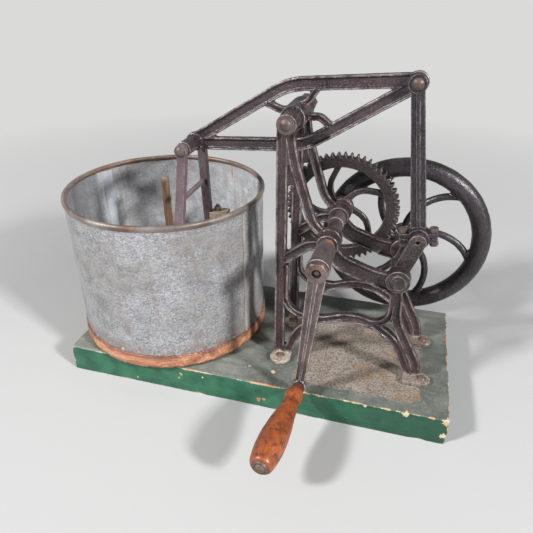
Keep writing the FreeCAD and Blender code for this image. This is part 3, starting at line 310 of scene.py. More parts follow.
def dress(material, *names):
    for name in names:
        for slot in nodes[name].material_slots:
            slot.material = material


# mesh helpers

def newPiece(name, build, body, replaced, materials, sharpAngle=50.0):
    mesh = bpy.data.meshes.new(name)
    bmesh.ops.recalc_face_normals(build, faces=build.faces)
    build.to_mesh(mesh)
    build.free()
    for material in materials:
        mesh.materials.append(material)
    mesh.polygons.foreach_set("use_smooth", [True] * len(mesh.polygons))
    mesh.set_sharp_from_angle(angle=math.radians(sharpAngle))
    piece = bpy.data.objects.new(name, mesh)
    bpy.context.collection.objects.link(piece)
    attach(piece, body)
    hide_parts(*replaced)
    return piece


def spin(build, profile, steps, lay, closed=False, paint=None):
    # turns a profile of (radius, height) pairs; lay puts (turn, radius, height) into place
    rings = []
    for radius, height in profile:
        if radius < 1e-7:
            rings.append([build.verts.new(lay(0.0, 0.0, height))])
        else:
            turns = [2 * math.pi * i / steps for i in range(steps)]
            rings.append([build.verts.new(lay(turn, radius, height)) for turn in turns])
    pairs = list(zip(rings, rings[1:])) + ([(rings[-1], rings[0])] if closed else [])
    for index, (low, high) in enumerate(pairs):
        for i in range(steps):
            j = (i + 1) % steps
            corners = [low[i % len(low)], low[j % len(low)], high[j % len(high)], high[i % len(high)]]
            corners = list(dict.fromkeys(corners))
            if len(corners) > 2:
                face = build.faces.new(corners)
                if paint:
                    face.material_index = paint(index)


def wave(x, y, z, size, seed=0.0):
    return noise.noise(Vector((x / size + seed, y / size - seed, z / size + 3.1 * seed)))


def arc(centre, radius, start, end, count):
    # points of a profile on a round corner, angles in degrees
    turns = [math.radians(start + (end - start) * i / count) for i in range(count + 1)]
    return [(centre[0] + radius * math.cos(a), centre[1] + radius * math.sin(a)) for a in turns]


def spread(low, high, count):
    return [low + (high - low) * i / count for i in range(count + 1)]


# the castings keep their CAD mesh, with modifiers for the rounded, uneven skin of sand-cast iron

castingSkins = {
    "frames": {
        "on": ("front_frame", "back_frame", "walking_beam"), "cell": 0.0009, "soften": 3, "uneven": 0.0005,
    },
    "wheel": {"on": ("flywheel",), "cell": 0.0011, "soften": 3, "uneven": 0.0006},
    "arms": {
        "on": ("yoke_front_arm", "yoke_back_arm", "crank_arm", "throw_front", "throw_rear", "connecting_rod",
               "rod_cap", "yoke_cross_bar", "shaft_sleeve"),
        "cell": 0.0007, "soften": 3, "uneven": 0.0004,
    },
    "gears": {"on": ("drive_gear", "pinion"), "cell": 0.0007, "soften": 2, "uneven": 0.0002},
    "fixings": {
        "on": ("rod_bolts", "rod_nuts", "guide_bolt", "guide_nut", "beam_pivot_nut", "frame_screws",
               "rod_wrist_pin", "yoke_pin", "beam_pivot_bolt"),
        "cell": 0.0004, "soften": 3, "uneven": 0.00015,
    },
}


def makeSandTexture():
    sand = bpy.data.textures.new("sandMould", "CLOUDS")
    sand.noise_scale = 0.009
    sand.noise_depth = 2
    return sand


def castSkinOn(piece, cell, soften, uneven):
    mould = piece.modifiers.new("mould", "REMESH")
    mould.mode = "VOXEL"
    mould.voxel_size = cell
    mould.use_smooth_shade = True
    soft = piece.modifiers.new("softCorners", "SMOOTH")
    soft.factor = 0.5
    soft.iterations = soften
    sand = piece.modifiers.new("sandMould", "DISPLACE")
    sand.texture = sandTexture
    sand.texture_coords = "LOCAL"
    sand.mid_level = 1.0  # only ever inwards
    sand.strength = uneven


sandTexture = makeSandTexture()
for values in castingSkins.values():
    for name in values["on"]:
        castSkinOn(nodes[name], values["cell"], values["soften"], values["uneven"])
print("casting skins laid")


# cast iron: dark patina, corners rubbed to bare metal, dark brown painted shade in the hollows

ironFinishes = {
    "frameIron": {
        "on": ("front_frame", "back_frame"), "rim": (0.512, 0.556),
        "dark": rgb(0.014, 0.009, 0.011), "body": rgb(0.066, 0.042, 0.046), "worn": rgb(0.50, 0.43, 0.41),
        "hollowShade": rgb(0.034, 0.019, 0.017), "rubbed": 0.90, "rusted": 0.42, "rough": 0.31,
        # pale dust on the foot pads: heights, then where it turns paler to the left
        "pads": {
            "none": 0.0485, "full": 0.0435, "right": 0.16, "left": 0.08,
            "rightDust": rgb(0.36, 0.30, 0.24), "leftDust": rgb(0.58, 0.50, 0.41),
        },
    },
    "beamIron": {
        "on": ("walking_beam",), "rim": (0.512, 0.556),
        "dark": rgb(0.014, 0.009, 0.012), "body": rgb(0.060, 0.040, 0.047), "worn": rgb(0.56, 0.49, 0.47),
        "hollowShade": rgb(0.030, 0.017, 0.017), "rubbed": 0.90, "rusted": 0.34, "rough": 0.30,
    },
    # a brighter copy of the iron: its pink-purple body colour is a painted sheen of the lit front faces
    "yokeIron": {
        "on": ("yoke_front_arm", "yoke_back_arm", "yoke_cross_bar"), "rim": (0.512, 0.560),
        "dark": rgb(0.085, 0.056, 0.064), "body": rgb(0.200, 0.142, 0.156), "worn": rgb(0.54, 0.47, 0.46),
        "hollowShade": rgb(0.085, 0.050, 0.044), "rubbed": 0.55, "rusted": 0.36, "rough": 0.38,
    },
    "wheelIron": {
        "on": ("flywheel",), "rim": (0.516, 0.575),
        "dark": rgb(0.012, 0.010, 0.013), "body": rgb(0.042, 0.033, 0.038), "worn": rgb(0.30, 0.26, 0.26),
        "hollowShade": rgb(0.034, 0.021, 0.020), "rubbed": 0.6, "rusted": 0.28, "rough": 0.31,
    },
    "gearIron": {
        "on": ("drive_gear", "pinion", "throw_front", "throw_rear"), "rim": (0.512, 0.565),
        "dark": rgb(0.014, 0.010, 0.011), "body": rgb(0.050, 0.035, 0.036), "worn": rgb(0.50, 0.41, 0.37),
        "hollowShade": rgb(0.042, 0.023, 0.018), "rubbed": 0.85, "rusted": 0.36, "rough": 0.33,
    },
    "rodIron": {
        "on": ("connecting_rod", "rod_cap"), "rim": (0.510, 0.550),
        "dark": rgb(0.008, 0.006, 0.009), "body": rgb(0.026, 0.019, 0.025), "worn": rgb(0.52, 0.46, 0.46),
        "hollowShade": rgb(0.020, 0.013, 0.013), "rubbed": 0.50, "rusted": 0.30, "rough": 0.32,
    },
    # a brighter copy of the iron: its body and rubbed rib are real wear with a painted sheen
    "crankIron": {
        "on": ("crank_arm", "shaft_sleeve"), "rim": (0.508, 0.545),
        "dark": rgb(0.034, 0.024, 0.025), "body": rgb(0.120, 0.088, 0.086), "worn": rgb(0.66, 0.60, 0.57),
        "hollowShade": rgb(0.045, 0.028, 0.024), "rubbed": 0.95, "rusted": 0.42, "rough": 0.32,
        # a rusted place on the neck of the hub
        "orange": {"at": (0.0905, -0.0690, 0.2250), "wide": 0.0062, "tone": rgb(0.40, 0.165, 0.070)},
    },
}


def dustPads(tree, colour, where, clouds, values):
    low = fade(tree, partOf(tree, where, 2), values["none"], values["full"])
    low = sums(tree, "MULTIPLY", low, fade(tree, clouds["Fine"], 0.34, 0.56, 0.1, 1.0))
    low = sums(tree, "MULTIPLY", low, fade(tree, clouds["Medium"], 0.32, 0.5, 0.4, 1.0))
    leftwards = fade(tree, partOf(tree, where, 0), values["right"], values["left"])
    dusty = tint(tree, leftwards, values["rightDust"], values["leftDust"])
    return tint(tree, weaken(tree, low, 0.85), colour, dusty)


def rustPlace(tree, colour, where, clouds, values):
    wide = values["wide"]
    away = distance(tree, where, values["at"])
    mask = blot(tree, away, clouds["Fine"], wide * 3.2, wide, wide * 0.3, 0.75)
    return tint(tree, mask, colour, values["tone"])


def makeIron(name, values):
    material, tree, shader, where = startFinish(name)
    rims = use(tree, rimSense, {"Start": values["rim"][0], "Full": values["rim"][1]})
    clouds = use(tree, mottle, {"Vector": where, "Scale": 24.0})
    skin = use(tree, castSkin, {"Vector": where})
    rusty = rustOn(tree, where, 75.0, values["rusted"], rims["Hollow"])
    colour = tint(tree, fade(tree, clouds["Broad"], 0.35, 0.65), values["dark"], values["body"])
    colour = tint(tree, fade(tree, clouds["Fine"], 0.50, 0.72, 0.0, 0.18), colour, values["worn"])
    colour = tint(tree, fade(tree, clouds["Fine"], 0.48, 0.30, 0.0, 0.6), colour, values["dark"])
    # painted shade: the hollows and inner corners darkened
    colour = tint(tree, weaken(tree, rims["Hollow"], 0.80), colour, values["hollowShade"])
    colour = tint(tree, weaken(tree, rusty["Mask"], 0.70), colour, rusty["Color"])
    patchy = fade(tree, clouds["Medium"], 0.38, 0.60, 0.08, 1.0)
    rubbed = sums(tree, "MULTIPLY", sums(tree, "MULTIPLY", rims["Edge"], patchy), values["rubbed"])
    rubbed = sums(tree, "MULTIPLY", rubbed, fade(tree, clouds["Fine"], 0.32, 0.50, 0.35, 1.0))
    colour = tint(tree, rubbed, colour, values["worn"])
    if "pads" in values:
        colour = dustPads(tree, colour, where, clouds, values["pads"])
    if "orange" in values:
        colour = rustPlace(tree, colour, where, clouds, values["orange"])
    rough = fade(tree, clouds["Medium"], 0.3, 0.7, values["rough"] - 0.08, values["rough"] + 0.14)
    rough = sums(tree, "SUBTRACT", rough, sums(tree, "MULTIPLY", rubbed, 0.06))
    rough = sums(tree, "ADD", rough, sums(tree, "MULTIPLY", rusty["Mask"], 0.22))
    finishSurface(tree, shader, colour, rough, skin["Height"], 0.0004)
    plug(tree, shader, {"Metallic": fade(tree, rubbed, 0.0, 1.0, 0.05, 0.55)})
    return material


for name, values in ironFinishes.items():
    dress(makeIron(name, values), *values["on"])
print("cast iron finished")


# turned and forged steel: shafts, bolts, nuts, screws, rivets and the knife

steelFinishes = {
    "boltSteel": {
        "on": ("beam_pivot_bolt", "beam_pivot_nut", "main_shaft", "rod_bolts", "rod_nuts",
               "rod_wrist_pin", "yoke_pin", "crank_pin", "gear_key", "pinion_key", "flywheel_key",
               "drum_pivot_pin"),
        "body": rgb(0.075, 0.052, 0.046), "bright": rgb(0.30, 0.25, 0.23), "rusted": 0.52, "rough": 0.44,
    },
    "nutSteel": {
        "on": ("crank_nut", "guide_bolt", "guide_nut"),
        "body": rgb(0.080, 0.055, 0.050), "bright": rgb(0.42, 0.35, 0.33), "rusted": 0.62, "rough": 0.36,
    },
    "fixingSteel": {
        "on": ("frame_screws", "grip_spindle", "grip_washer", "drum_washer"),
        "body": rgb(0.10, 0.066, 0.052), "bright": rgb(0.30, 0.235, 0.20), "rusted": 0.66, "rough": 0.50,
    },
    "knifeSteel": {
        "on": ("knife_blade", "knife_rivets"),
        "body": rgb(0.13, 0.115, 0.108), "bright": rgb(0.42, 0.40, 0.385), "rusted": 0.46, "rough": 0.38,
    },
}


def makeSteel(name, values):
    material, tree, shader, where = startFinish(name)
    edges = use(tree, edgeSense, {"Radius": 0.0006, "Reach": 0.003})
    clouds = use(tree, mottle, {"Vector": where, "Scale": 60.0})
    scores = use(tree, scratches, {"Vector": where, "Scale": 1.6})
    rusty = rustOn(tree, where, 120.0, values["rusted"], edges["Hollow"])
    colour = tint(tree, fade(tree, clouds["Broad"], 0.35, 0.7, 0.0, 0.45), values["body"], values["bright"])
    colour = tint(tree, weaken(tree, rusty["Mask"], 0.85), colour, rusty["Color"])
    rubbed = sums(tree, "MULTIPLY", edges["Edge"], fade(tree, clouds["Medium"], 0.3, 0.6, 0.3, 1.0))
    shiny = sums(tree, "MAXIMUM", rubbed, sums(tree, "MULTIPLY", scores["Mask"], 0.5))
    colour = tint(tree, shiny, colour, values["bright"])
    rough = fade(tree, clouds["Medium"], 0.3, 0.7, values["rough"] - 0.08, values["rough"] + 0.15)
    rough = sums(tree, "ADD", rough, sums(tree, "MULTIPLY", rusty["Mask"], 0.22))
    height = sums(tree, "SUBTRACT", clouds["Fine"], sums(tree, "MULTIPLY", scores["Mask"], 0.4))
    finishSurface(tree, shader, colour, rough, height, 0.00012, edges["Normal"])
    plug(tree, shader, {"Metallic": fade(tree, rusty["Mask"], 0.0, 1.0, 0.45, 0.08)})
    return material


for name, values in steelFinishes.items():
    dress(makeSteel(name, values), *values["on"])
print("steel finished")


# tinned sheet of the drum

drumMiddle = (-0.139, 0.005, 0.0)
drumRadius = 0.126
sheetFinish = {
    "outside": {
        "base": rgb(0.285, 0.272, 0.258), "bright": rgb(0.56, 0.61, 0.70), "dull": rgb(0.185, 0.168, 0.155),
        "brown": rgb(0.225, 0.165, 0.125), "flakes": 0.72, "rusted": 0.20, "rough": 0.50,
        # rust spots: degrees round the drum, height, how wide
        "spots": (
            (-94.7, 0.2181, 0.0019), (-45.4, 0.1328, 0.0014), (-50.7, 0.0904, 0.0021), (-47.0, 0.140, 0.0010),
        ),
        "spotTone": rgb(0.42, 0.13, 0.035),
    },
    "inside": {
        "base": rgb(0.56, 0.57, 0.575), "bright": rgb(0.86, 0.89, 0.94), "dull": rgb(0.34, 0.34, 0.35),
        "brown": rgb(0.36, 0.27, 0.19), "flakes": 0.75, "rusted": 0.26, "rough": 0.50,
        "drips": {"share": 0.5, "tone": rgb(0.075, 0.066, 0.058)},
        "solder": {"turn": 159.5, "none": 0.080, "full": 0.062, "share": 0.8, "tone": rgb(0.74, 0.77, 0.84)},
        # painted shade on the left and front-left of the inner wall
        "insideShade": {"start": 167.5, "full": 170.5, "share": 0.62, "tone": rgb(0.125, 0.125, 0.135)},
        "rustRun": {
            "turn": 66.0, "height": 0.2215, "none": 0.0021, "full": 0.0010, "share": 0.85,
            "tone": rgb(0.50, 0.24, 0.085),
        },
    },
    "rim": {
        "base": rgb(0.135, 0.100, 0.086), "bright": rgb(0.32, 0.29, 0.27), "rusted": 0.56,
        "edge": 0.1262, "edgeTone": rgb(0.27, 0.135, 0.075),
    },
    "seam": {"base": rgb(0.27, 0.24, 0.21), "bright": rgb(0.52, 0.495, 0.44), "rusted": 0.2},
    "lap": {"base": rgb(0.56, 0.58, 0.63), "bright": rgb(0.82, 0.86, 0.92), "rusted": 0.12},
    # dark tone for the painted shade in the hollows of the rim, seam and lap
    "grimeAndShade": rgb(0.045, 0.030, 0.024),
}


def onWall(turn, height):
    # a place on the wall as aroundDrum unrolls it
    return (math.radians(turn) * drumRadius, height, drumRadius)


def smearSolder(tree, colour, rolled, clouds, values):
    beside = sums(tree, "ABSOLUTE", sums(tree, "SUBTRACT", rolled["Angle"], math.radians(values["turn"])))
    beside = tear(tree, beside, clouds["Medium"], 0.11)
    beside = sums(tree, "ADD", beside, fade(tree, rolled["Height"], 0.20, 0.23, 0.0, 0.035))
    mask = fade(tree, beside, values["none"], values["full"], 0.0, values["share"])
    return tint(tree, mask, colour, values["tone"])


def paintInsideShade(tree, colour, rolled, clouds, values):
    # painted shade on the inner wall beyond the lapped seam, where the unrolled angle jumps from 180 to -180
    # degrees, and on its front-left part
    turned = sums(tree, "ABSOLUTE", rolled["Angle"])
    turned = sums(tree, "ADD", turned, sums(tree, "MULTIPLY", clouds["Medium"], 0.10))
    start, full = math.radians(values["start"]), math.radians(values["full"])
    colour = tint(tree, fade(tree, turned, start, full, 0.0, values["share"]), colour, values["tone"])
    frontLeftShade = [fade(tree, rolled["Angle"], -1.2, -1.6), fade(tree, rolled["Angle"], -3.1, -2.9)]
    return tint(tree, weaken(tree, sums(tree, "MULTIPLY", *frontLeftShade), values["share"]), colour, values["tone"])


def runRust(tree, colour, rolled, clouds, values):
    # a run of rust below the rim, longer than it is wide
    start = onWall(values["turn"], values["height"])
    off = place(tree, "VectorMath", {0: rolled["Vector"], 1: start}, operation="SUBTRACT").outputs[0]
    away = howLong(tree, stretched(tree, off, 1.0, 0.18, 0.0))
    mask = blot(tree, away, clouds["Fine"], 0.0022, values["none"], values["full"], values["share"])
    return tint(tree, mask, colour, values["tone"])


def makeSheet(name, values):
    material, tree, shader, where = startFinish(name)
    rolled = use(tree, aroundDrum, {"Vector": where, "Middle": drumMiddle, "Radius": drumRadius})
    clouds = use(tree, mottle, {"Vector": where, "Scale": 15.0})
    bands = cloud(tree, stretched(tree, rolled["Vector"], 7.0, 42.0, 1.0), 1.0, 5.0, 0.62, 0.8)
    tone = sums(tree, "MULTIPLY", clouds["Broad"], 0.55)
    tone = sums(tree, "ADD", tone, sums(tree, "MULTIPLY", bands, 0.45))
    # crystals of the coating, short and mostly level, bright where it is not worn dull
    crystal = cloud(tree, stretched(tree, rolled["Vector"], 300.0, 430.0, 300.0), 1.0, 4.0, 0.72, 1.0)
    crystal = fade(tree, crystal, 0.42, 0.62)
    fresh = fade(tree, fade(tree, tone, 0.40, 0.60), 0.0, 1.0, 0.22, values["flakes"])
    shine = sums(tree, "MULTIPLY", crystal, fresh)
    colour = tint(tree, fade(tree, clouds["Medium"], 0.36, 0.64), values["dull"], values["base"])
    colour = tint(tree, shine, colour, values["bright"])
    runs = cloud(tree, stretched(tree, rolled["Vector"], 90.0, 9.0, 1.0), 1.0, 4.0, 0.6, 0.5)
    colour = tint(tree, fade(tree, runs, 0.55, 0.74, 0.0, 0.55), colour, values["brown"])
    if "drips" in values:
        drips = cloud(tree, stretched(tree, rolled["Vector"], 26.0, 9.0, 1.0), 1.0, 5.0, 0.7, 0.9)
        mask = fade(tree, drips, 0.58, 0.70, 0.0, values["drips"]["share"])
        colour = tint(tree, mask, colour, values["drips"]["tone"])
    for mark, wear in (("solder", smearSolder), ("insideShade", paintInsideShade), ("rustRun", runRust)):
        if mark in values:
            colour = wear(tree, colour, rolled, clouds, values[mark])
    specks = use(tree, spots, {"Vector": where, "Scale": 260.0, "Size": 0.26, "Share": 0.20})
    colour = tint(tree, weaken(tree, specks["Mask"], 0.5), colour, values["dull"])
    rusty = rustOn(tree, where, 40.0, values["rusted"])
    foot, head = fade(tree, rolled["Height"], 0.078, 0.060), fade(tree, rolled["Height"], 0.2255, 0.2315)
    ends = sums(tree, "MULTIPLY", sums(tree, "MAXIMUM", foot, head), fade(tree, clouds["Medium"], 0.46, 0.62))
    stain = sums(tree, "MAXIMUM", rusty["Mask"], ends)
    colour = tint(tree, weaken(tree, stain, 0.72), colour, rusty["Color"])
    for turn, height, wide in values.get("spots", ()):
        away = distance(tree, rolled["Vector"], onWall(turn, height))
        spot = blot(tree, away, clouds["Fine"], wide * 1.6, wide, wide * 0.4)
        colour = tint(tree, spot, colour, values["spotTone"])
        stain = sums(tree, "MAXIMUM", stain, spot)
    rough = fade(tree, shine, 0.0, 0.7, values["rough"] + 0.10, values["rough"] - 0.10)
    rough = sums(tree, "ADD", rough, sums(tree, "MULTIPLY", stain, 0.25))
    height = sums(tree, "MULTIPLY", clouds["Fine"], 0.6)
    height = sums(tree, "ADD", height, sums(tree, "MULTIPLY", crystal, 0.4))
    finishSurface(tree, shader, colour, rough, height, 0.00018)
    plug(tree, shader, {"Metallic": fade(tree, stain, 0.0, 1.0, 0.22, 0.02)})
    return material


def makeRimFinish(name, values):
    material, tree, shader, where = startFinish(name)
    clouds = use(tree, mottle, {"Vector": where, "Scale": 26.0})
    edges = use(tree, edgeSense, {"Radius": 0.0009, "Reach": 0.004})
    rusty = rustOn(tree, where, 60.0, values["rusted"], edges["Hollow"])
    colour = tint(tree, fade(tree, clouds["Broad"], 0.38, 0.62), values["base"], values["bright"])
    colour = tint(tree, fade(tree, clouds["Fine"], 0.45, 0.65, 0.0, 0.5), colour, values["base"])
    colour = tint(tree, weaken(tree, rusty["Mask"], 0.8), colour, rusty["Color"])
    # painted shade: the hollows darkened
    colour = tint(tree, weaken(tree, edges["Hollow"], 0.75), colour, sheetFinish["grimeAndShade"])
    if "edge" in values:
        # rust along the inner side of the roll
        rolled = use(tree, aroundDrum, {"Vector": where, "Middle": drumMiddle, "Radius": drumRadius})
        along = fade(tree, rolled["Out"], values["edge"], values["edge"] - 0.0012)
        along = sums(tree, "MULTIPLY", along, fade(tree, clouds["Medium"], 0.42, 0.60, 0.05, 0.75))
        colour = tint(tree, along, colour, values["edgeTone"])
    rough = fade(tree, rusty["Mask"], 0.0, 1.0, 0.42, 0.75)
    finishSurface(tree, shader, colour, rough, clouds["Fine"], 0.0002)
    plug(tree, shader, {"Metallic": fade(tree, rusty["Mask"], 0.0, 1.0, 0.25, 0.02)})
    return material


sheetOutside = makeSheet("sheetOutside", sheetFinish["outside"])
sheetInside = makeSheet("sheetInside", sheetFinish["inside"])
rolledEdge = makeRimFinish("rolledEdge", sheetFinish["rim"])
seamMetal = makeRimFinish("seamMetal", sheetFinish["seam"])
solderedLap = makeRimFinish("solderedLap", sheetFinish["lap"])
dress(seamMetal, "drum_nails")

drumShape = {
    "radius": 0.1265, "sheet": 0.0010, "low": 0.0589, "high": 0.2324,
    "dent": 0.00045, "steps": 256, "rows": 30,
    "wire": 0.0030, "rimHeight": 0.2354, "tuck": 0.0049, "tuckSheet": 0.0006,
    "seamTurn": -19.3, "seamWidth": 0.0050, "lapTurn": 158.0, "lapWidth": 0.0160,
    # sections of the two seams: share of the width, how proud
    "seam": (
        (-0.5, 0.00015), (-0.5, 0.0009), (-0.40, 0.0015), (-0.25, 0.0017),
        (0.22, 0.0017), (0.36, 0.0014), (0.5, 0.0006), (0.5, 0.00015),
    ),
    "lap": ((-0.5, 0.0002), (-0.5, 0.0007), (-0.47, 0.0009), (0.47, 0.0009), (0.5, 0.0007), (0.5, 0.0002)),
}


def drumDent(turn, height):
    # shallow hand-made waves, none at the nails and little at the wired rim
    values = drumShape
    x, y = math.cos(turn) * drumRadius, math.sin(turn) * drumRadius
    calm = min(1.0, max(0.0, (height - values["low"] - 0.012) / 0.03))
    calm *= 0.35 + 0.65 * min(1.0, max(0.0, (values["high"] - height) / 0.03))
    return values["dent"] * calm * (wave(x, y, height, 0.045, 2.0) + 0.5 * wave(x, y, height, 0.018, 5.0))


def onDrum(turn, radius, height):
    away = radius + drumDent(turn, height)
    return (drumMiddle[0] + away * math.cos(turn), drumMiddle[1] + away * math.sin(turn), height)


def makeDrumSkin(values):
    build = bmesh.new()
    heights = spread(values["low"], values["high"], values["rows"])
    inner = values["radius"] - values["sheet"]
    profile = [(values["radius"], h) for h in heights] + [(inner, h) for h in reversed(heights)]
    outsideRows = len(heights)
    spin(build, profile, values["steps"], onDrum, True, lambda row: 0 if row < outsideRows else 1)
    return newPiece("drumSkin", build, "drum", ["drum_wall"], [sheetOutside, sheetInside])


def makeDrumRim(values):
    # the sheet is rolled outwards over the wire and its end is tucked against the wall
    build = bmesh.new()
    middle, wire, height = values["radius"] - values["sheet"] / 2, values["wire"], values["rimHeight"]
    profile = arc((middle, height), wire, 235.0, -40.0, 20)
    tuckRadius, tuckHeight = values["radius"] + values["tuckSheet"], height - values["tuck"]
    profile += [(tuckRadius + 0.0009, height - wire * 0.92), (tuckRadius + 0.00015, tuckHeight + 0.0009)]
    profile += [(tuckRadius, tuckHeight + 0.0003), (tuckRadius - 0.0002, tuckHeight)]
    profile += [(values["radius"] - 0.0005, tuckHeight)]

    def lay(turn, radius, level):
        x, y = math.cos(turn), math.sin(turn)
        off = radius - middle
        pinch = 1.0 - 0.05 * (0.5 + 0.5 * wave(x, y, 0.0, 0.12, 7.0))  # uneven roll
        sag = 0.0004 * wave(x, y, 0.0, 0.35, 1.0) - 0.0002
        away = middle + off * pinch + drumDent(turn, values["high"]) - 0.0001
        return (drumMiddle[0] + away * x, drumMiddle[1] + away * y, height + (level - height) * pinch + sag)

    spin(build, profile, values["steps"], lay, True)
    return newPiece("drumRim", build, "drum", ["drum_rim_wire"], [rolledEdge], 60.0)


def makeStrip(name, values, kind, side, node, material):
    # an upright strip bent to the wall, on its outer side (1) or its inner side (-1)
    turn, width, section = values[kind + "Turn"], values[kind + "Width"], values[kind]
    build = bmesh.new()
    low = values["low"] + (0.0004 if side > 0 else 0.0054)
    high = values["high"] - values["wire"]
    base = values["radius"] if side > 0 else values["radius"] - values["sheet"]
    rows = []
    for height in spread(low, high, 36):
        row = []
        for across, proud in section:
            angle = math.radians(turn) + across * width / base
            row.append(build.verts.new(onDrum(angle, base + side * proud, height)))
        rows.append(row)
    count = len(section)
    for a, b in zip(rows, rows[1:]):
        for i in range(count):
            j = (i + 1) % count
            build.faces.new((a[i], a[j], b[j], b[i]))
    build.faces.new(rows[0])
    build.faces.new(rows[-1])
    return newPiece(name, build, "drum", [node], [material], 40.0)


makeDrumSkin(drumShape)
makeDrumRim(drumShape)
makeStrip("drumSeam", drumShape, "seam", 1, "drum_seam", seamMetal)
makeStrip("drumLap", drumShape, "lap", -1, "drum_lap", solderedLap)
print("drum sheet formed and finished")


# bare and stained wood

woodFinishes = {
    "discWood": {
        "light": rgb(0.76, 0.40, 0.23), "dark": rgb(0.25, 0.080, 0.036), "pore": rgb(0.10, 0.035, 0.022),
        "grimeAndShade": rgb(0.14, 0.060, 0.042), "rough": 0.50, "size": 1.0,
        "band": {"top": 0.0589, "tone": rgb(0.115, 0.050, 0.046), "foot": rgb(0.13, 0.05, 0.030)},
    },
    "postWood": {
        "light": rgb(0.31, 0.172, 0.096), "dark": rgb(0.044, 0.026, 0.018), "pore": rgb(0.030, 0.020, 0.014),
        "grimeAndShade": rgb(0.060, 0.044, 0.036), "rough": 0.55, "size": 1.5, "upright": True,
        "greyEnd": {"top": 0.2504, "tone": rgb(0.21, 0.17, 0.145)},
    },
    "blockWood": {
        "light": rgb(0.50, 0.38, 0.27), "dark": rgb(0.27, 0.185, 0.125), "pore": rgb(0.08, 0.052, 0.033),
        "grimeAndShade": rgb(0.14, 0.095, 0.068), "rough": 0.65, "size": 1.4, "upright": True,
    },
}


def stainBand(tree, colour, where, clouds, streaks, values):
    # a dark stained band under the tin, and darker along the lower edge
    top = values["top"]
    height = tear(tree, partOf(tree, where, 2), clouds["Medium"], 0.012)
    band = fade(tree, height, top - 0.0052, top - 0.0012)
    band = sums(tree, "MULTIPLY", band, fade(tree, streaks, 0.34, 0.54, 0.35, 1.0))
    colour = tint(tree, weaken(tree, band, 0.85), colour, values["tone"])
    foot = sums(tree, "MULTIPLY", fade(tree, height, top - 0.0150, top - 0.0188), 0.75)
    return tint(tree, foot, colour, values["foot"])


def greyEnd(tree, colour, where, clouds, values):
    # handled and weathered grey at the top end
    height = tear(tree, partOf(tree, where, 2), clouds["Fine"], 0.006)
    mask = fade(tree, height, values["top"] - 0.0075, values["top"] - 0.0035, 0.0, 0.8)
    return tint(tree, mask, colour, values["tone"])


def makeWood(name, values):
    material, tree, shader, where = startFinish(name)
    edges = use(tree, edgeSense, {"Radius": 0.0012, "Reach": 0.005})
    along = where
    if "upright" in values:
        turned = (0.0, math.radians(90.0), 0.0)
        along = place(tree, "Mapping", {"Vector": where, "Rotation": turned}).outputs[0]
    grain = use(tree, woodGrain, {"Vector": along, "Scale": values["size"]})
    clouds = use(tree, mottle, {"Vector": where, "Scale": 22.0})
    colour = tint(tree, fade(tree, grain["Bands"], 0.38, 0.62, 0.0, 0.75), values["light"], values["dark"])
    colour = tint(tree, fade(tree, grain["Streaks"], 0.42, 0.62, 0.0, 0.7), colour, values["dark"])
    colour = tint(tree, weaken(tree, grain["Pores"], 0.85), colour, values["pore"])
    # dirt in patches, and painted shade in the hollows
    dirtAndShadeMask = sums(tree, "MAXIMUM", fade(tree, clouds["Medium"], 0.56, 0.76, 0.0, 0.6), edges["Hollow"])
    colour = tint(tree, dirtAndShadeMask, colour, values["grimeAndShade"])
    colour = tint(tree, sums(tree, "MULTIPLY", edges["Edge"], 0.5), colour, values["light"])
    if "band" in values:
        colour = stainBand(tree, colour, where, clouds, grain["Streaks"], values["band"])
    if "greyEnd" in values:
        colour = greyEnd(tree, colour, where, clouds, values["greyEnd"])
    rough = fade(tree, clouds["Broad"], 0.3, 0.7, values["rough"] - 0.08, values["rough"] + 0.1)
    finishSurface(tree, shader, colour, rough, grain["Height"], 0.0005, edges["Normal"])
    return material


postWood = makeWood("postWood", woodFinishes["postWood"])
blockWood = makeWood("blockWood", woodFinishes["blockWood"])
discWood = makeWood("discWood", woodFinishes["discWood"])

discShape = {
    "radius": 0.1288, "low": 0.0399, "top": 0.0589, "floor": 0.0639, "spigot": 0.1253, "round": 0.0020,
    "bore": 0.00605, "boreTop": 0.0533, "postHole": 0.00552, "postFoot": 0.0553,
    "wear": 0.0005, "bites": 0.0013,
}


def makeDrumDisc(values):
    build = bmesh.new()
    r, low, top = values["radius"], values["low"], values["top"]
    profile = [(0.0, values["boreTop"]), (values["bore"], values["boreTop"]), (values["bore"], low)]
    profile += [(radius, low) for radius in (0.04, 0.09, 0.118, 0.1235)]
    curve = values["round"]
    profile += arc((r - curve, low + curve), curve, -90.0, 0.0, 5)
    profile += [(r, h) for h in spread(low + 0.0035, top - 0.0035, 6)]
    profile += arc((r - curve, top - curve), curve, 0.0, 90.0, 5)
    profile += [(values["spigot"], top), (values["spigot"], values["floor"] - 0.0004)]
    profile += [(values["spigot"] - 0.0004, values["floor"])]
    profile += [(radius, values["floor"]) for radius in (0.11, 0.08, 0.04, values["postHole"])]
    profile += [(values["postHole"], values["postFoot"]), (0.0, values["postFoot"])]

    def lay(turn, radius, height):
        x, y = math.cos(turn), math.sin(turn)
        if radius > 0.1263:
            radius -= values["wear"] * (0.5 + wave(x, y, height, 0.08, 4.0)) * 0.9
            radius += 0.0002 * wave(x, y, height * 40.0, 0.02, 9.0)
            # small bites out of the lower edge, where it has rubbed and split
            bite = max(0.0, wave(x, y, 0.0, 0.028, 12.0) + 0.5 * wave(x, y, 0.0, 0.011, 3.0) - 0.05)
            lowness = min(1.0, max(0.0, 1.0 - (height - low) / 0.004))
            radius -= min(values["bites"], values["bites"] * 2.2 * bite) * lowness
            height += 0.0012 * bite * lowness
        return (drumMiddle[0] + radius * x, drumMiddle[1] + radius * y, height)

    spin(build, profile, 480, lay)
    return newPiece("drumDisc", build, "drum", ["drum_disc"], [discWood], 45.0)


stickShape = {"radius": 0.0055, "foot": 0.0553, "top": 0.2504, "whittle": 0.0007, "bend": 0.0004}


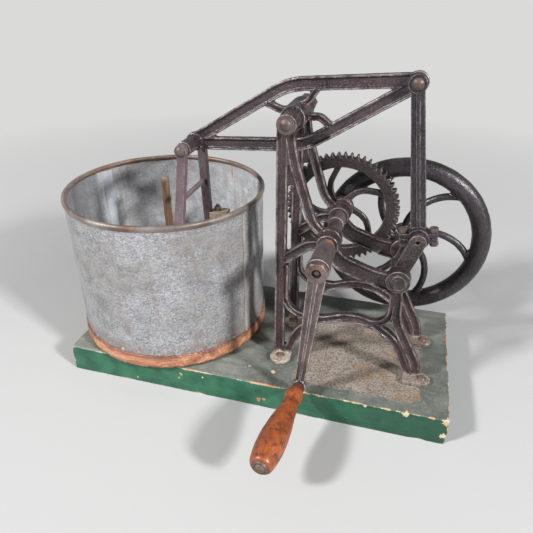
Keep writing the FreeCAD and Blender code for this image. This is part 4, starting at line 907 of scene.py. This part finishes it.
def makeStick(values):
    build = bmesh.new()
    r, foot, top = values["radius"], values["foot"], values["top"]
    profile = [(0.0, foot), (r * 0.98, foot), (r * 0.98, foot + 0.0085)]
    profile += [(r, h) for h in spread(foot + 0.011, top - 0.0045, 56)]
    tip = ((0.97, 0.0030), (0.88, 0.0016), (0.68, 0.0006), (0.35, 0.0001), (0.0, 0.0))
    profile += [(r * share, top - below) for share, below in tip]

    def lay(turn, radius, height):
        x, y = math.cos(turn), math.sin(turn)
        free = min(1.0, max(0.0, (height - foot - 0.009) / 0.02))
        if radius > r * 0.3:
            flats = abs(wave(x * 0.01, y * 0.01, height * 0.25, 0.0075, 6.0))
            flats += 0.4 * abs(wave(x * 0.01, y * 0.01, height, 0.004, 1.0))
            radius -= min(0.0009, values["whittle"] * 1.6 * flats * free)
        lean = values["bend"] * math.sin((height - foot) * 18.0) * free
        return (drumMiddle[0] + radius * x + lean, drumMiddle[1] + radius * y, height)

    spin(build, profile, 40, lay)
    return newPiece("oldStick", build, "drum", ["centre_post"], [postWood], 60.0)


def makeBlock():
    # a sawn block with worn corners
    castSkinOn(nodes["guide_block"], 0.0006, 4, 0.0004)
    dress(blockWood, "guide_block")


makeDrumDisc(discShape)
makeStick(stickShape)
makeBlock()
print("bare wood shaped and finished")


# painted board

boardHalf = (0.245, 0.110, 0.019)
boardFinish = {
    "paint": rgb(0.0110, 0.080, 0.042), "paintLight": rgb(0.030, 0.145, 0.080),
    "paintDark": rgb(0.006, 0.040, 0.021),
    "faded": rgb(0.235, 0.250, 0.222), "fadedDark": rgb(0.092, 0.104, 0.090),
    "bare": rgb(0.345, 0.300, 0.248), "bareDark": rgb(0.072, 0.052, 0.044),
    "cream": rgb(0.66, 0.58, 0.40), "tan": rgb(0.50, 0.27, 0.13), "blotch": rgb(0.235, 0.130, 0.070),
    # bare wood round the frames' feet, along X and Y: middle, where it ends, where it is full
    "bareArea": ((0.134, 0.088, 0.066), (-0.022, 0.080, 0.060)),
    "rough": 0.48,
    # knocks through the paint: x, y, z, how wide
    "knocks": (
        (0.019, -0.110, 0.012, 0.0046), (0.026, -0.110, 0.014, 0.0030), (-0.149, -0.110, 0.007, 0.0016),
        (-0.0845, -0.110, 0.028, 0.0034), (-0.088, -0.110, 0.021, 0.0022), (-0.055, -0.110, 0.030, 0.0018),
        (0.197, -0.110, 0.036, 0.0060), (0.243, -0.110, 0.036, 0.0085), (0.242, -0.110, 0.014, 0.0055),
        (-0.001, -0.082, 0.038, 0.0032), (0.0315, -0.0847, 0.038, 0.0048), (0.150, -0.110, 0.036, 0.0026),
    ),
}


def rimSide(tree, part):
    # how far a place is outside the rims of the plank, negative on its faces
    sunk = [sums(tree, "SUBTRACT", sums(tree, "ABSOLUTE", part[i]), boardHalf[i]) for i in (0, 1)]
    level = sums(tree, "ABSOLUTE", sums(tree, "SUBTRACT", part[2], boardHalf[2]))
    level = sums(tree, "SUBTRACT", level, boardHalf[2])
    inner = sums(tree, "MINIMUM", sums(tree, "MAXIMUM", *sunk), level)
    return sums(tree, "MAXIMUM", sums(tree, "MINIMUM", *sunk), inner)


def makePaintedBoard(values):
    material, tree, shader, where = startFinish("paintedBoard")
    part = place(tree, "SeparateXYZ", {0: where}).outputs
    up = fade(tree, partOf(tree, place(tree, "NewGeometry").outputs["Normal"], 2), 0.4, 0.8)
    clouds = use(tree, mottle, {"Vector": where, "Scale": 12.0})
    grain = use(tree, woodGrain, {"Vector": where, "Scale": 0.8})
    # painted sides, a little streaky
    brushed = cloud(tree, stretched(tree, where, 9.0, 150.0, 150.0), 1.0, 4.0, 0.6, 0.2)
    side = tint(tree, fade(tree, clouds["Medium"], 0.36, 0.66), values["paint"], values["paintLight"])
    side = tint(tree, fade(tree, brushed, 0.48, 0.72, 0.0, 0.45), side, values["paintLight"])
    # darker towards the crank's end
    side = tint(tree, fade(tree, part[0], 0.02, 0.20, 0.0, 0.65), side, values["paintDark"])
    # worn top: faded paint, and bare brown wood round the frames' feet
    faded = tint(tree, fade(tree, clouds["Broad"], 0.38, 0.62), values["faded"], values["fadedDark"])
    faded = tint(tree, fade(tree, brushed, 0.42, 0.66, 0.0, 0.55), faded, values["fadedDark"])
    faded = tint(tree, fade(tree, clouds["Fine"], 0.52, 0.70, 0.0, 0.45), faded, values["bare"])
    bare = tint(tree, fade(tree, clouds["Medium"], 0.30, 0.70, 0.0, 0.45), values["bare"], values["bareDark"])
    speck = cloud(tree, where, 430.0, 3.0, 0.75)
    bare = tint(tree, fade(tree, speck, 0.48, 0.60, 0.0, 0.85), bare, values["bareDark"])
    blotch = cloud(tree, where, 46.0, 5.0, 0.68, 0.5)
    bare = tint(tree, fade(tree, blotch, 0.54, 0.66, 0.0, 0.6), bare, values["blotch"])
    near = []
    for axis, (middle, none, full) in enumerate(values["bareArea"]):
        off = sums(tree, "ABSOLUTE", sums(tree, "SUBTRACT", part[axis], middle))
        near.append(fade(tree, off, none, full))
    worn = tear(tree, sums(tree, "MULTIPLY", *near), clouds["Medium"], 1.1)
    top = tint(tree, fade(tree, worn, 0.42, 0.56), faded, bare)
    colour = tint(tree, up, side, top)
    # rims worn through to the cream undercoat
    rims = tear(tree, tear(tree, rimSide(tree, part), clouds["Medium"], 0.0085, 0.56), clouds["Fine"], 0.0050)
    chips = fade(tree, rims, -0.0016, -0.0009)
    torn = cloud(tree, where, 190.0, 4.0, 0.6, 0.6)
    for x, y, z, wide in values["knocks"]:
        mask = blot(tree, distance(tree, where, (x, y, z)), torn, wide * 1.7, wide * 0.72, wide * 0.62)
        chips = sums(tree, "MAXIMUM", chips, mask)
    under = tint(tree, fade(tree, clouds["Medium"], 0.40, 0.62), values["cream"], values["tan"])
    colour = tint(tree, weaken(tree, chips, 0.92), colour, under)
    flecks = use(tree, spots, {"Vector": where, "Scale": 190.0, "Size": 0.15, "Share": 0.014})
    colour = tint(tree, flecks["Mask"], colour, values["cream"])
    rough = fade(tree, clouds["Medium"], 0.3, 0.7, values["rough"] - 0.08, values["rough"] + 0.12)
    rough = sums(tree, "ADD", rough, sums(tree, "MULTIPLY", up, 0.2))
    height = sums(tree, "MULTIPLY", grain["Height"], 0.8)
    height = sums(tree, "SUBTRACT", height, sums(tree, "MULTIPLY", chips, 0.6))
    finishSurface(tree, shader, colour, rough, height, 0.0004)
    return material


boardShape = {
    "half": boardHalf, "cell": 0.005, "round": 0.0013, "wear": 0.0011,
    # dents and splits on the rims: x, y, z, how wide, how deep
    "dents": (
        (-0.235, -0.110, 0.038, 0.006, 0.0016), (-0.120, -0.110, 0.038, 0.004, 0.0010),
        (-0.020, -0.110, 0.038, 0.005, 0.0012), (0.055, -0.110, 0.038, 0.005, 0.0014),
        (0.122, -0.110, 0.038, 0.004, 0.0012), (0.197, -0.110, 0.038, 0.007, 0.0022),
        (0.245, -0.104, 0.034, 0.006, 0.0026), (0.245, -0.110, 0.006, 0.006, 0.0024),
        (0.245, 0.020, 0.038, 0.006, 0.0016), (-0.245, -0.040, 0.038, 0.006, 0.0016),
        (0.214, -0.110, 0.000, 0.008, 0.0016), (-0.060, -0.110, 0.000, 0.006, 0.0014),
        (0.150, 0.110, 0.038, 0.006, 0.0016), (0.245, 0.110, 0.030, 0.006, 0.0020),
        (-0.245, 0.110, 0.036, 0.007, 0.0022), (-0.245, -0.110, 0.037, 0.007, 0.0022),
    ),
}


def makeBoard(values):
    build = bmesh.new()
    near = (0.0, 0.0006, 0.0013, 0.0022, 0.0034, 0.005, 0.007)  # closer rows at the rims
    ticks = []
    for half in values["half"]:
        middle = spread(-half + 0.010, half - 0.010, max(2, round((2 * half - 0.02) / values["cell"])))
        ticks.append([-half + n for n in near] + middle + [half - n for n in reversed(near)])
    corners = {}

    def at(i, j, k):
        if (i, j, k) not in corners:
            spot = Vector((ticks[0][i], ticks[1][j], ticks[2][k]))
            corners[(i, j, k)] = build.verts.new(wornBoard(spot, values))
        return corners[(i, j, k)]

    last = [len(t) - 1 for t in ticks]
    for axis in range(3):
        one, two = [a for a in range(3) if a != axis]
        for side in (0, last[axis]):
            for i in range(last[one]):
                for j in range(last[two]):
                    quad = []
                    for di, dj in ((0, 0), (1, 0), (1, 1), (0, 1)):
                        key = [0, 0, 0]
                        key[axis], key[one], key[two] = side, i + di, j + dj
                        quad.append(at(*key))
                    build.faces.new(quad)
    return newPiece("boardPlank", build, "base", ["base_board"], [paintedBoard], 40.0)


def wornBoard(spot, values):
    # rounds the rims unevenly, then presses the dents in
    half = values["half"]
    knocked = wave(*spot, 0.022, 3.0) + 0.5 * wave(*spot, 0.008, 8.0)
    radius = values["round"] + values["wear"] * max(0.0, knocked)
    inner = Vector([max(-h + radius, min(h - radius, c)) for h, c in zip(half, spot)])
    off = spot - inner
    if off.length > 1e-9:
        spot = inner + off.normalized() * radius
    spot = spot + Vector((0.0, 0.0, half[2]))
    for x, y, z, wide, deep in values["dents"]:
        reach = wide * (1.0 + 0.5 * wave(*spot, 0.004, 2.0))
        fall = max(0.0, 1.0 - (spot - Vector((x, y, z))).length / reach)
        if fall > 0.0:
            inward = Vector((-x if abs(x) > 0.24 else 0.0, -y if abs(y) > 0.105 else 0.0, half[2] - z))
            spot += inward.normalized() * deep * fall ** 0.7
    return spot


paintedBoard = makePaintedBoard(boardFinish)
makeBoard(boardShape)
print("board shaped and painted")


# varnished grip

gripFinish = {
    "clear": rgb(0.43, 0.122, 0.032), "deep": rgb(0.19, 0.040, 0.012), "dirtAndShade": rgb(0.050, 0.014, 0.008),
    "worn": rgb(0.60, 0.27, 0.10), "collar": rgb(0.070, 0.026, 0.018), "collarEnd": 0.0098, "rough": 0.28,
}


def makeVarnish(values):
    material, tree, shader, where = startFinish("varnishedGrip")
    turn = (0.0, 0.0, math.radians(90.0 - gripShape["tilt"]))
    turned = place(tree, "Mapping", {"Vector": where, "Rotation": turn}).outputs[0]
    grain = use(tree, woodGrain, {"Vector": turned, "Scale": 1.3})
    clouds = use(tree, mottle, {"Vector": where, "Scale": 38.0})
    edges = use(tree, edgeSense, {"Radius": 0.0012, "Reach": 0.004})
    colour = tint(tree, fade(tree, clouds["Broad"], 0.35, 0.62), values["clear"], values["deep"])
    colour = tint(tree, fade(tree, grain["Streaks"], 0.42, 0.66, 0.0, 0.7), colour, values["deep"])
    colour = tint(tree, fade(tree, clouds["Medium"], 0.52, 0.66, 0.0, 0.8), colour, values["dirtAndShade"])
    rubbed = sums(tree, "MAXIMUM", edges["Edge"], fade(tree, clouds["Fine"], 0.62, 0.74))
    colour = tint(tree, weaken(tree, rubbed, 0.6), colour, values["worn"])
    # painted shade: the hollows darkened with the same dark tone
    colour = tint(tree, edges["Hollow"], colour, values["dirtAndShade"])
    # darker collar next to the crank
    off = place(tree, "VectorMath", {0: where, 1: gripShape["start"]}, operation="SUBTRACT").outputs[0]
    lean = math.radians(gripShape["tilt"])
    ahead = (-math.sin(lean), -math.cos(lean), 0.0)
    along = place(tree, "VectorMath", {0: off, 1: ahead}, operation="DOT_PRODUCT").outputs["Value"]
    mask = fade(tree, along, values["collarEnd"], values["collarEnd"] - 0.0016, 0.0, 0.85)
    colour = tint(tree, mask, colour, values["collar"])
    rough = fade(tree, clouds["Medium"], 0.35, 0.65, values["rough"], values["rough"] + 0.22)
    finishSurface(tree, shader, colour, rough, grain["Height"], 0.0002, edges["Normal"])
    plug(tree, shader, {"Coat Weight": fade(tree, clouds["Medium"], 0.35, 0.6, 0.5, 0.05)})
    shader.inputs["Coat Roughness"].default_value = 0.22
    return material


gripShape = {
    "start": (0.071944, -0.120573, 0.056061), "tilt": 5.6, "low": 0.001161, "length": 0.119, "bore": 0.00405,
    # radius of the turning at shares of its length
    "turning": (
        (0.000, 0.0074), (0.004, 0.0077), (0.060, 0.0078), (0.067, 0.0080), (0.074, 0.0090), (0.090, 0.0100),
        (0.110, 0.0105), (0.130, 0.0106), (0.150, 0.0104), (0.175, 0.0098), (0.200, 0.0093), (0.212, 0.0091),
        (0.250, 0.0094), (0.300, 0.0101), (0.360, 0.0111), (0.430, 0.0123), (0.500, 0.0135), (0.570, 0.0145),
        (0.640, 0.0152), (0.700, 0.0156), (0.760, 0.0156), (0.820, 0.0153), (0.880, 0.0147), (0.930, 0.0138),
        (0.965, 0.0129), (0.985, 0.0121), (0.996, 0.0113), (1.000, 0.0104),
    ),
    "dent": 0.0003,
}


def makeGrip(values):
    build = bmesh.new()
    low, length = values["low"], values["length"]
    points = values["turning"]
    profile = [(values["bore"], low), (0.0060, low)]
    for (s0, r0), (s1, r1) in zip(points, points[1:]):
        parts = max(1, round((s1 - s0) * length / 0.0016))
        for i in range(parts):
            profile.append((r0 + (r1 - r0) * i / parts, low + (s0 + (s1 - s0) * i / parts) * length))
    profile += [(points[-1][1], low + length), (0.0070, low + length), (values["bore"], low + length)]
    lean = math.radians(values["tilt"])
    ahead = Vector((-math.sin(lean), -math.cos(lean), 0.0))
    aside = Vector((math.cos(lean), -math.sin(lean), 0.0))

    def lay(turn, radius, along):
        x, y = math.cos(turn) * radius, math.sin(turn) * radius
        if radius > 0.0072:
            pressed = wave(x, y, along, 0.012, 5.0) + 0.4 * wave(x, y, along, 0.005, 1.0)
            radius -= values["dent"] * max(0.0, pressed)
        spot = Vector(values["start"]) + ahead * along
        spot += aside * (radius * math.cos(turn)) + Vector((0.0, 0.0, radius * math.sin(turn)))
        return spot

    spin(build, profile, 96, lay, True)
    return newPiece("turnedGrip", build, "hand_grip", ["grip"], [varnish], 55.0)


varnish = makeVarnish(gripFinish)
makeGrip(gripShape)
print("grip turned and varnished")


# floor, lamps and camera

studio = {
    "floor": rgb(0.49, 0.49, 0.485), "farTone": rgb(0.70, 0.70, 0.695), "nearReach": 0.45, "farReach": 1.5,
    "rightLamp": {"from": (0.76, -0.41, 0.50), "away": 3.4, "size": 0.36, "power": 134.0},
    "leftLamp": {"from": (-0.58, -0.57, 0.59), "away": 3.4, "size": 0.36, "power": 124.0},
    "skyLight": 0.22,
    "aim": (0.02, 0.0, 0.15),
}


def makeFloor(values):
    mesh = bpy.data.meshes.new("floor")
    build = bmesh.new()
    rows = []
    for step in range(0, 25):  # flat, then a quarter round up to the back
        turn = math.radians(max(0, step - 6) * 5.0)
        y = (-6.0 + step * 1.5) if step <= 6 else 3.0 + 1.5 * math.sin(turn)
        z = 0.0 if step <= 6 else 1.5 * (1.0 - math.cos(turn))
        rows.append([build.verts.new((x, y, z)) for x in (-8.0, 8.0)])
    rows.append([build.verts.new((x, 4.5, 6.0)) for x in (-8.0, 8.0)])
    for low, high in zip(rows, rows[1:]):
        build.faces.new((low[0], low[1], high[1], high[0]))
    build.to_mesh(mesh)
    mesh.polygons.foreach_set("use_smooth", [True] * len(mesh.polygons))
    floor = bpy.data.objects.new("floor", mesh)
    bpy.context.collection.objects.link(floor)
    material, tree, shader, where = startFinish("paleFloor")
    clouds = use(tree, mottle, {"Vector": where, "Scale": 3.0})
    colour = tint(tree, clouds["Broad"], values["floor"], grey(0.475))
    rough = fade(tree, clouds["Fine"], 0.0, 1.0, 0.8, 0.9)
    finishSurface(tree, shader, colour, rough, clouds["Fine"], 0.0001)
    # away from the object the camera sees one even pale tone
    out = howLong(tree, where)
    rays = place(tree, "LightPath").outputs["Is Camera Ray"]
    even = place(tree, "Emission", {"Color": values["farTone"], "Strength": 1.0}).outputs[0]
    share = sums(tree, "MULTIPLY", fade(tree, out, values["nearReach"], values["farReach"]), rays)
    blend = place(tree, "MixShader", {0: share, 1: shader.outputs[0], 2: even}).outputs[0]
    tree.links.new(blend, tree.nodes["Material Output"].inputs[0])
    mesh.materials.append(material)


def makeLamp(name, values, aim):
    lamp = bpy.data.lights.new(name, "AREA")
    lamp.shape = "SQUARE"
    lamp.size = values["size"]
    lamp.energy = values["power"]
    holder = bpy.data.objects.new(name, lamp)
    bpy.context.collection.objects.link(holder)
    toLamp = Vector(values["from"]).normalized()
    holder.location = Vector(aim) + toLamp * values["away"]
    holder.rotation_euler = toLamp.to_track_quat("Z", "Y").to_euler()


def makeSky(strength, farTone):
    world = bpy.data.worlds.new("sky")
    bpy.context.scene.world = world
    world.use_nodes = True
    back = world.node_tree.nodes["Background"]
    back.inputs["Color"].default_value = rgb(0.96, 0.98, 1.0)
    back.inputs["Strength"].default_value = strength
    # the camera sees the floor's far tone past its edge
    tree = world.node_tree
    seen = place(tree, "Background", {"Color": farTone, "Strength": 1.0}).outputs[0]
    rays = place(tree, "LightPath").outputs["Is Camera Ray"]
    blend = place(tree, "MixShader", {0: rays, 1: back.outputs[0], 2: seen}).outputs[0]
    tree.links.new(blend, tree.nodes["World Output"].inputs[0])


def makeCamera():
    lens = bpy.data.cameras.new("view")
    lens.lens = 34.32
    lens.clip_end = 50.0
    holder = bpy.data.objects.new("view", lens)
    bpy.context.collection.objects.link(holder)
    holder.location = (0.1575, -0.5593, 0.4754)
    holder.rotation_euler = [math.radians(a) for a in (60.03, 0.0, 15.85)]
    bpy.context.scene.camera = holder


makeFloor(studio)
makeLamp("rightLamp", studio["rightLamp"], studio["aim"])
makeLamp("leftLamp", studio["leftLamp"], studio["aim"])
makeSky(studio["skyLight"], studio["farTone"])
makeCamera()
bpy.context.scene.view_settings.view_transform = "Standard"
print("studio set")
